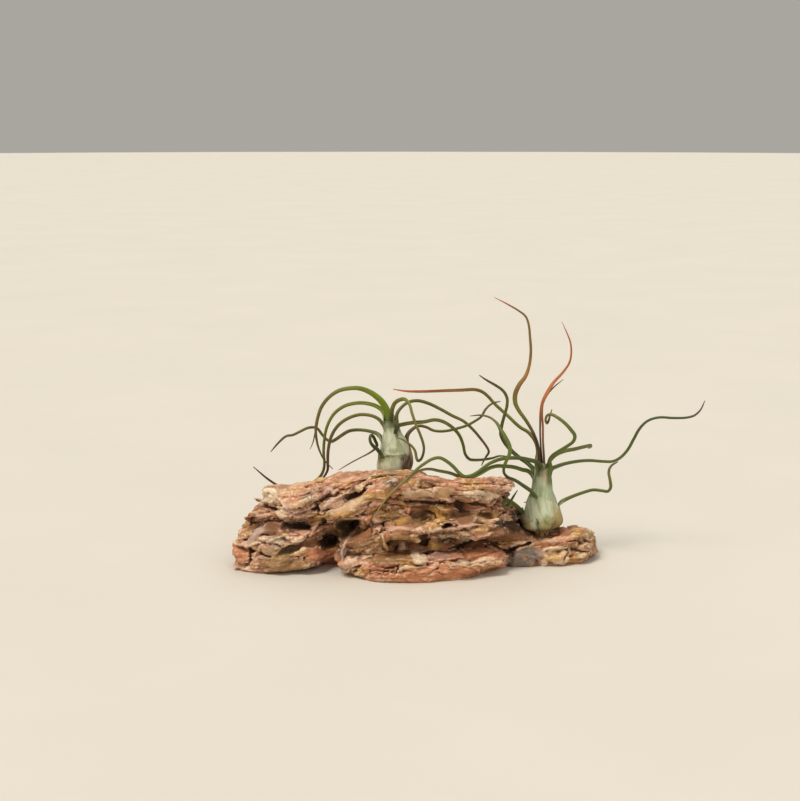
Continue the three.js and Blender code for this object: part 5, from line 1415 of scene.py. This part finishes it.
def form_cover(column, row, ragged, shape, edge):
    middle, level, wide, tall, tilt = shape
    lean = math.radians(tilt)
    along = (column - middle) * math.cos(lean) - (row - level) * math.sin(lean)
    over = (column - middle) * math.sin(lean) + (row - level) * math.cos(lean)
    return 1 - smooth(*edge, np.hypot(along / wide, over / tall) + ragged)


def line_cover(column, row, ragged, way, half):
    here = np.stack([column, row], -1)
    least = np.full(len(here), np.inf)
    for start, end in zip(np.array(way, float), np.array(way[1:], float)):
        run = end - start
        share = np.clip((here - start) @ run / (run @ run), 0, 1)
        least = np.minimum(least, np.linalg.norm(here - start - share[:, None] * run, axis=1))
    return 1 - smooth(*LINE_EDGE, least / half + ragged)


def remeshed(mesh, voxel):
    made = placed("remesh", mesh)
    remesh = made.modifiers.new("even", "REMESH")
    remesh.mode = "VOXEL"
    remesh.voxel_size = voxel * MM
    return made_plain(made)


def stone_copy():
    """A merged copy of the frame's stone, remeshed coarsely for carving."""
    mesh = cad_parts["stone"].data.copy()
    mesh.materials.clear()
    build = bmesh.new()
    build.from_mesh(mesh)
    bmesh.ops.remove_doubles(build, verts=build.verts, dist=MERGE_DISTANCE * MM)
    build.to_mesh(mesh)
    build.free()
    return remeshed(mesh, COARSE_VOXEL)


def steady_normals(mesh, pairs, rounds):
    return unit(spread(read(mesh.vertices, "normal"), pairs, rounds))


def softened(mesh, rounds, normal_rounds):
    """Softens a mesh, and gives its neighbours, points, which of them lie flat, and normals."""
    pairs = neighbours(mesh)
    points = points_of(mesh)
    flat = points[:, 2] < FLAT_BASE
    points = spread(points, pairs, rounds)
    move_points(mesh, points)
    return pairs, points, flat, steady_normals(mesh, pairs, normal_rounds)


def settle(mesh, points, flat):
    """Moves the points of a mesh, none of them below the ground and the flat base on it."""
    points[:, 2] = np.maximum(points[:, 2], 0)
    points[flat, 2] = 0
    move_points(mesh, points)


def from_bulb(side, x, y):
    """Distance of each point from a bulb's middle, seen from above."""
    _, middle_x, middle_y = BULBS[side]["centre"][0]
    return np.hypot(x - middle_x, y - middle_y)


def carve(mesh):
    """Raises and sinks the stone's crest, draws its outline out or in, and pushes its forms out or in."""
    _, points, flat, normals = softened(mesh, rounds=4, normal_rounds=3)
    column, row = photo_place(points)
    x, y, z = points.T      # these look into the points, so what moves them moves the points
    clear = smooth(*CREST_CLEARANCE, from_bulb("left", x, y))
    lift = eased(CREST, column) * smooth(*CREST_HEIGHTS, z) * clear
    on_foot = smooth(*FOOT_HEIGHTS, z) * (1 - smooth(*FOOT_TOP, z)) * (column > FOOT_COLUMN)
    foot = eased(FOOT, column) * on_foot
    lift += foot * np.where(from_bulb("right", x, y) < BULB_REACH, smooth(*BULB_FRONT, y), 1)
    z += lift
    x += LEFT_CUT * PIXEL * np.maximum(0, eased(LEFT_EDGE, row) - column)
    x -= PIXEL * eased(CAP_END, row) * (1 - smooth(*CAP_COLUMNS, column))
    x += PIXEL * eased(SLAB_END, row) * smooth(*SLAB_COLUMNS, column) * (column < SLAB_LIMIT)
    x += PIXEL * eased(FOOT_END, row) * smooth(*FOOT_COLUMNS, column)
    y += eased(UNDERCUT, column) * (1 - smooth(*UNDERCUT_HEIGHTS, z)) * (1 - smooth(*UNDERCUT_DEPTHS, y))
    front = front_share(points, normals)
    ragged = PUSH_RAGGED * layered_noise(points / PUSH_GRAIN, 3, seed=51)
    for *shape, out, _, _, _ in FORMS.values():
        cover = form_cover(column, row, ragged, shape, PUSH_EDGE)
        points += FRONT * (out * cover * front)[:, None]
    settle(mesh, points, flat)
    return remeshed(mesh, VOXEL)


def breaks(points, normals, calm):
    """How far blocks, cracks, slots, layers and lumps stand out, and two numbers of the blocks for colour."""
    x, y, _ = points.T
    level = bed_level(points)
    leans = x < RIM_TILT_END
    upward = normals[:, 2] * RIM_TILT[0] + normals[:, 0] * RIM_TILT[1] * leans
    rim = 1 - smooth(*RIM_LEVEL, np.abs(upward))

    def sheet(along, thick, seed):
        return noise(np.stack([x / along, y / along, level / thick], -1), seed)

    warp = np.stack([share * noise(points / size, seed) for size, share, seed in WARPS], -1)
    bedded = np.stack([x, y, level], -1) + warp * BLOCK_WARP
    large, large_wall = blocks(bedded / LARGE_SIZE, seed=1)
    small, small_wall = blocks(bedded / SMALL_SIZE, seed=2)
    chips, _ = blocks(points / CHIP_SIZE + warp, seed=3)
    steps = (large - 0.5) * LARGE_STEP + (small - 0.5) * SMALL_STEP
    cracks = sum(-deep * (1 - smooth(0, wide, wall))
                 for (deep, wide), wall in ((LARGE_CRACK, large_wall), (SMALL_CRACK, small_wall)))
    slots = np.clip(1 - np.abs(sheet(*SLOT_SIZE, seed=5)) * SLOT_THINNESS, 0, 1) * -SLOT_DEPTH
    layers = sum(sheet(*size, seed) * deep for size, deep, seed in LAYERS)
    lumps = layered_noise(points / LUMP_SIZE, 3, seed=6) * LUMP_DEPTH
    depth = (steps + slots + layers) * mix(LEVEL_DEPTH, 1, rim) + cracks * mix(LEVEL_CRACKS, 1, rim)
    depth = (depth + (chips - 0.5) * CHIP_STEP) * (1 - CALM_BLOCKS * calm) + lumps * (1 - CALM_LUMPS * calm)
    depth += GRAIN_DEPTH * layered_noise(points / GRAIN_SIZE, 2, seed=71)
    return depth, large, sum(number * share for number, share in zip((large, small, chips), BLOCK_TINTS))


def weather(mesh):
    """Breaks the stone into bedded blocks, splits and pits, and notes what its material needs."""
    pairs, points, flat, normals = softened(mesh, rounds=2, normal_rounds=4)
    stand = smooth(*STAND, points[:, 2])
    column, row = photo_place(points)
    front = front_share(points, normals)
    ragged = TONE_RAGGED * layered_noise(points / TONE_GRAIN, 3, seed=61)

    tone = np.zeros((len(points), 3))
    told = np.zeros(len(points))
    calm = np.zeros(len(points))
    for *shape, _, name, strength, calmness in FORMS.values():
        cover = form_cover(column, row, ragged, shape, TONE_EDGE) * front
        tone = mix(tone, np.array(STONE_TONES[name]), (cover * strength)[:, None])
        told = np.maximum(told, cover * strength)
        calm = mix(calm, calmness, cover)

    depth, large, block = breaks(points, normals, calm)
    points = points + normals * (depth * stand)[:, None]
    for way, half, out, name, strength in LINES.values():
        cover = line_cover(column, row, ragged * LINE_RAGGED, way, half) * front
        points += FRONT * (out * cover * stand)[:, None]
        tone = mix(tone, np.array(STONE_TONES[name]), (cover * strength)[:, None])
        told = np.maximum(told, cover * strength)
    settle(mesh, points, flat)

    # For the material's painted highlight on convex edges and painted shade in crevices: how far each point
    # stands out or lies in.
    near = spread(points, pairs, NEAR_ROUNDS)
    far = spread(near, pairs, FAR_ROUNDS)
    sense = steady_normals(mesh, pairs, 3)
    edge = ((points - near) * sense).sum(1)
    hollow = ((far - points) * sense).sum(1)
    store(mesh, level=bed_level(points), block=block,
          edge=np.clip(edge / EDGE_STANDS, -1, 1) * (1 - CALM_LUMPS * calm),
          crevice=np.clip(hollow / CREVICE_DEEP, -1, 1),
          told=told, tone=coloured(tone), zone=coloured(zones(points, large)))
    shade_smooth(mesh)
    mesh.update()


def zones(points, block):
    """How salmon, how ochre and how grey each point of the stone is, where no form says more."""
    more = {"salmon": 1 - smooth(*LOW_GROUND, points[:, 2]), "ochre": block - 0.5, "grey": block - 0.5}
    return np.stack([strength * smooth(*edge, noise(points / size, seed) + share * more[name])
                     for name, (size, edge, share, strength, seed) in ZONES.items()], -1)


# The stone's colours from its darkest to its palest grain, where no form says more: the ground, and what the
# zones' salmon, ochre and grey lay over it.
STONE_STOPS = {
    "ground": [(0.30, (0.11, 0.042, 0.020)), (0.42, (0.29, 0.122, 0.062)), (0.50, (0.46, 0.215, 0.120)),
               (0.58, (0.62, 0.345, 0.215)), (0.70, (0.81, 0.56, 0.40))],
    "salmon": [(0.30, (0.24, 0.070, 0.032)), (0.45, (0.45, 0.160, 0.076)), (0.58, (0.62, 0.275, 0.155)),
               (0.70, (0.79, 0.50, 0.36))],
    "ochre": [(0.30, (0.15, 0.062, 0.014)), (0.45, (0.36, 0.165, 0.036)), (0.58, (0.54, 0.29, 0.075)),
              (0.70, (0.74, 0.50, 0.22))],
    "grey": [(0.30, (0.070, 0.045, 0.030)), (0.50, (0.20, 0.14, 0.10)), (0.70, (0.38, 0.28, 0.20))],
}
# The painted highlight on the stone's convex edges, and the painted shade in its crevices.
EDGE_HIGHLIGHT_COLOUR = (0.88, 0.67, 0.48, 1)
CREVICE_SHADE_COLOUR = (0.050, 0.020, 0.009, 1)
BEDS_ALONG, BEDS_ACROSS = 40.0, 0.22    # bands per metre along the beds, and per millimetre across them


def grit_group():
    """Grains of the stone: a colour factor and a height, from an even noise at two sizes."""
    nodes = group_tree(
        "grit", "ShaderNodeTree",
        [("Place", "NodeSocketVector", None), ("Size", "NodeSocketFloat", 1.0)],
        [("Tint", "NodeSocketFloat"), ("Height", "NodeSocketFloat")])
    given = nodes.input.outputs
    place = nodes.scaled(given["Place"], given["Size"])
    coarse = nodes.noise(place, scale=620.0, detail=4.0, roughness=0.65)
    fine = nodes.noise(place, scale=1900.0, roughness=0.7)
    nodes.put(nodes.output.inputs["Tint"], nodes.weighted((coarse, 0.55), (fine, 0.45)))
    nodes.put(nodes.output.inputs["Height"], nodes.weighted((coarse, 0.7), (fine, 0.3)))


def stone_material():
    made, nodes, shader = material("layered_stone", 0.9)
    place = nodes.place()
    x, y, _ = nodes.add("ShaderNodeSeparateXYZ", {0: place}, None).outputs
    beds = nodes.combined(*(nodes.math("MULTIPLY", value, fineness) for value, fineness in (
        (x, BEDS_ALONG), (y, BEDS_ALONG), (nodes.attribute("level"), BEDS_ACROSS))))
    broad = nodes.noise(beds, scale=1.0, detail=4.0, roughness=0.6, distortion=0.4)
    fine = nodes.noise(beds, scale=3.6, detail=4.0, roughness=0.65, distortion=0.3)
    patch = nodes.noise(place, scale=160.0, detail=4.0, roughness=0.6, distortion=0.6)
    highlight_patches = nodes.noise(place, scale=60.0, detail=2.0)
    grit = nodes.group("grit", {"Place": place})
    blend = nodes.weighted((broad, 0.42), (fine, 0.38), (nodes.attribute("block"), 0.24))

    colour, *others = [nodes.ramp(blend, stops) for stops in STONE_STOPS.values()]
    zone = nodes.add("ShaderNodeSeparateColor", {0: nodes.attribute("zone", "Color")}, None).outputs
    for share, other in zip(zone, others):
        colour = nodes.mix(share, colour, other)
    vary = nodes.math("MULTIPLY_ADD", nodes.math("ADD", patch, blend), 0.9, 0.12)
    told_share = nodes.math("MULTIPLY", nodes.attribute("told"), nodes.remap(patch, 0.25, 0.5, 0.75, 1.0))
    colour = nodes.mix(told_share, colour, nodes.dimmed(nodes.attribute("tone", "Color"), vary))
    # Painted highlight: convex edges are paled, in patches.
    edge = nodes.remap(nodes.attribute("edge"), 0.12, 0.8, 0.0, 0.78)
    edge = nodes.math("MULTIPLY", edge, nodes.remap(fine, 0.35, 0.6))
    edge = nodes.math("MULTIPLY", edge, nodes.remap(highlight_patches, 0.38, 0.58, 0.35, 1.0))
    colour = nodes.mix(edge, colour, EDGE_HIGHLIGHT_COLOUR)
    # Painted shade: crevices are darkened.
    colour = nodes.mix(nodes.remap(nodes.attribute("crevice"), 0.08, 0.8, 0.0, 0.9), colour, CREVICE_SHADE_COLOUR)
    speck = nodes.remap(grit["Tint"], 0.35, 0.65, 0.70, 1.24, smooth=False)
    nodes.put(shader.inputs["Base Color"], nodes.dimmed(colour, speck))
    nodes.put(shader.inputs["Roughness"], nodes.remap(grit["Tint"], 0.3, 0.7, 0.8, 0.98, smooth=False))
    coarse = nodes.bump(nodes.weighted((patch, 0.6), (fine, 1.0)), 0.8, 1.0 * MM)
    nodes.put(shader.inputs["Normal"], nodes.bump(grit["Height"], 0.8, 0.7 * MM, coarse))
    return made


def build_stone():
    grit_group()
    made = placed("stone_finish", carve(stone_copy()))
    weather(made.data)
    made.data.materials.clear()
    made.data.materials.append(stone_material())
    finish_piece(made, ["stone"])


build_studio()
build_stone()
build_plants()
